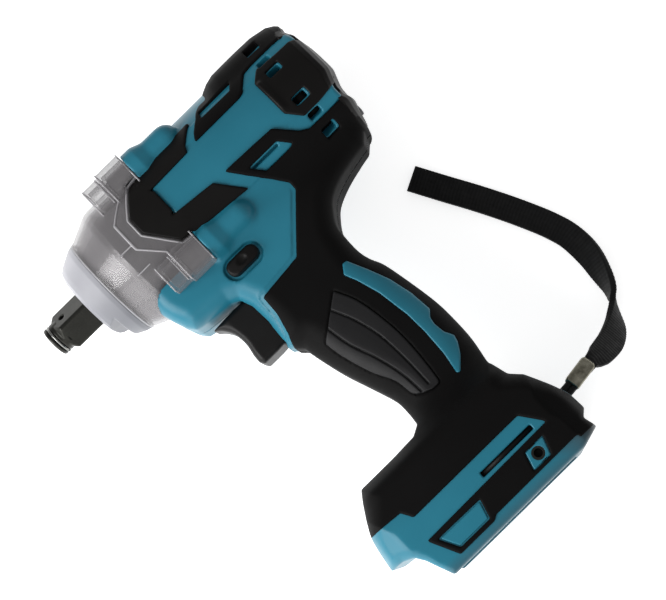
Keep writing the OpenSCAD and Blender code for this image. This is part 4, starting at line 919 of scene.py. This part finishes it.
def add_poly(name, V, faces, mat, body, att=None):
    P = [W(*v) for v in V]
    bm = bmesh.new()
    vs = [bm.verts.new(p) for p in P]
    for f in faces:
        g = []
        for i in f:
            if int(i) not in g: g.append(int(i))
        if len(g) > 2:
            try: bm.faces.new([vs[i] for i in g])
            except ValueError: pass
    bmesh.ops.recalc_face_normals(bm, faces=bm.faces)
    me = bpy.data.meshes.new(name); bm.to_mesh(me); bm.free()
    me.polygons.foreach_set("use_smooth", np.ones(len(me.polygons), bool))
    if att is not None:
        a = me.attributes.new("weave", "FLOAT", "POINT"); a.data.foreach_set("value", np.asarray(att, F4))
    me.materials.append(mat)
    ob = bpy.data.objects.new(name, me); COL.objects.link(ob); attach(ob, body)
    return ob
SV, SQ, SA, SC, SU = strap()
band = add_poly("wrist_strap", SV, SQ, MAT["web"], "housing", SA)
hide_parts("strap_webbing")

# stamped metal clip that holds the cord and the band
def clip():
    import itertools
    c, sn = math.cos(math.radians(9)), math.sin(math.radians(9))
    c2, s2 = math.cos(math.radians(-19.5)), math.sin(math.radians(-19.5))
    def place(v):
        x, y, z = v
        x, z = x * c2 + z * s2, -x * s2 + z * c2
        x, y = x * c - y * sn, x * sn + y * c
        return (x - 46.5, -(y + 156.0), z)
    V = []; n = 34; K = 64
    for i in range(n + 1):
        x = -17.2 + 12.1 * i / n
        e = 0.35 * math.exp(-((i / n) / 0.05) ** 2) + 0.35 * math.exp(-((1 - i / n) / 0.05) ** 2)
        crimp = 0.35 * math.exp(-((x + 9.0) / 1.1) ** 2) + 0.35 * math.exp(-((x + 13.4) / 1.1) ** 2)
        for j in range(K):
            a = 2 * math.pi * j / K
            cx, cy = math.cos(a), math.sin(a)
            m = (abs(cx) ** 5 + abs(cy) ** 5) ** -0.2
            zz, yy = 3.15 * cx * m, 2.0 * cy * m
            groove = 0.16 * (0.5 + 0.5 * math.cos(zz * 2 * math.pi / 1.5)) * (abs(cy) > abs(cx) * 0.6)
            yy -= math.copysign(e + groove + crimp * (abs(zz) < 2.0), yy); zz -= math.copysign(e, zz)
            V.append(place((x, zz, yy)))
    Q = [(i * K + j, i * K + (j + 1) % K, (i + 1) * K + (j + 1) % K, (i + 1) * K + j) for i in range(n) for j in range(K)]
    b = len(V); V.append(place((-17.2, 0, 0))); V.append(place((-5.1, 0, 0)))
    Q += [(b, (j + 1) % K, j) for j in range(K)] + [(b + 1, n * K + j, n * K + (j + 1) % K) for j in range(K)]
    return V, Q
V, Q = clip()
fer = add_poly("strap_clip", V, Q, MAT["pewter"], "housing")
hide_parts("strap_ferrule")
# the cord between anchor and clip: two braided strands side by side
def loop():
    P = np.array(spline([(-40.5,-156,0),(-44.5,-156,0),(-49.2,-155.7,-0.9),(-54.6,-155.0,-2.9)], 14))
    T = np.gradient(P, axis=0); T /= np.linalg.norm(T, axis=1)[:, None]
    A = np.cross(np.array([0, 0, 1.0]), T); A /= np.linalg.norm(A, axis=1)[:, None]
    Bn = np.cross(T, A)
    d = np.r_[0, np.cumsum(np.linalg.norm(np.diff(P, axis=0), axis=1))]
    K = 28; VV = []; FF = []; AT = []
    for sg in (1, -1):
        o = len(VV)
        for i in range(len(P)):
            for j in range(K):
                a = 2 * math.pi * j / K
                br = math.cos(3 * a + d[i] * 3.2) * math.cos(3 * a - d[i] * 3.2)
                r = 1.27 + 0.07 * br
                VV.append(P[i] + A[i] * (sg * 1.2 + r * math.cos(a)) + Bn[i] * r * math.sin(a)); AT.append(0.5 + 0.5 * br)
        n = len(P)
        for i in range(n - 1):
            for j in range(K): FF.append((o + i * K + j, o + i * K + (j + 1) % K, o + (i + 1) * K + (j + 1) % K, o + (i + 1) * K + j))
        for i in (0, n - 1):
            c = len(VV); VV.append(P[i]+ A[i] * sg * 1.2); AT.append(0.5)
            for j in range(K): FF.append((c, o + i * K + j, o + i * K + (j + 1) % K))
    return VV, FF, AT
V, Q, AT = loop()
cordpiece = add_poly("strap_loop", V, Q, MAT["web"], "housing", AT)
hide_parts("strap_cord")
path = [tuple(W(*p)) for p in SC[::4]] + [tuple(W(*SC[-1]))]

# ---------------------------------------------------------------- the CAD pieces that stay
def paint(name, mat):
    o = NODES[name]
    o.data.materials.clear(); o.data.materials.append(MAT[mat])
for n, m in {"hammer_case": "alloy", "anvil_bush": "brass", "nose_seal": "rubber",
             "hammer": "steel", "hammer_spring": "ring", "spring_washer": "steel", "cam_balls": "steel", "spindle_carrier": "steel", "planet_pins": "steel",
             "planet_gear_1": "steel", "planet_gear_2": "steel", "planet_gear_3": "steel", "ring_gear": "steel", "rotor_shaft": "steel",
             "rotor_core": "steel", "rotor_magnets": "black_steel", "stator_core": "steel", "stator_coils": "copper", "motor_board": "board", "cooling_fan": "cover",
             "front_bearing": "steel", "rear_bearing": "steel", "switch_unit": "cover", "trigger_spring": "ring", "led_lens": "lens", "control_board": "board",
             "terminal_block": "cover", "terminal_blades": "brass", "motor_leads": "leads", "left_hook_insert": "black_steel",
             "right_hook_insert": "black_steel", "gear_case": "cover"}.items():
    paint(n, m)

# ---------------------------------------------------------------- floor and light
fm, nt, b = new_mat("floor")
b.inputs["Roughness"].default_value = 0.9
nt.links.new(ramp(nt, noise(nt, 3.0), [(0.3, (0.88, 0.88, 0.88)), (0.7, (0.89, 0.89, 0.89))]), b.inputs["Base Color"])
b.inputs["Emission Color"].default_value = (1, 1, 1, 1)
b.inputs["Emission Strength"].default_value = 0.72
me = bpy.data.meshes.new("floor")
z = -0.0382
me.from_pydata([(-3, -3, z), (3, -3, z), (3, 3, z), (-3, 3, z)], [], [(0, 1, 2, 3)])
me.materials.append(fm)
fl = bpy.data.objects.new("floor", me); COL.objects.link(fl)

world = bpy.data.worlds.new("world"); bpy.context.scene.world = world; world.use_nodes = True
bg = world.node_tree.nodes["Background"]; bg.inputs["Color"].default_value = (1, 1, 1, 1); bg.inputs["Strength"].default_value = 0.40

def area(name, loc, target, size, power, size_y=None):
    L = bpy.data.lights.new(name, "AREA"); L.energy = power; L.size = size
    if size_y: L.shape = "RECTANGLE"; L.size_y = size_y
    o = bpy.data.objects.new(name, L); COL.objects.link(o); o.location = loc
    o.rotation_mode = "QUATERNION"; o.rotation_quaternion = (Vector(target) - Vector(loc)).to_track_quat("-Z", "Y")
    return o
T0 = W(-15, -70, 0)
area("key", W(480, 10, 330), T0, 0.40, 3.4)
area("front", W(300, -330, 160), T0, 0.35, 1.0)

sc = bpy.context.scene
sc.view_settings.view_transform = "Standard"
sc.view_settings.look = "None"
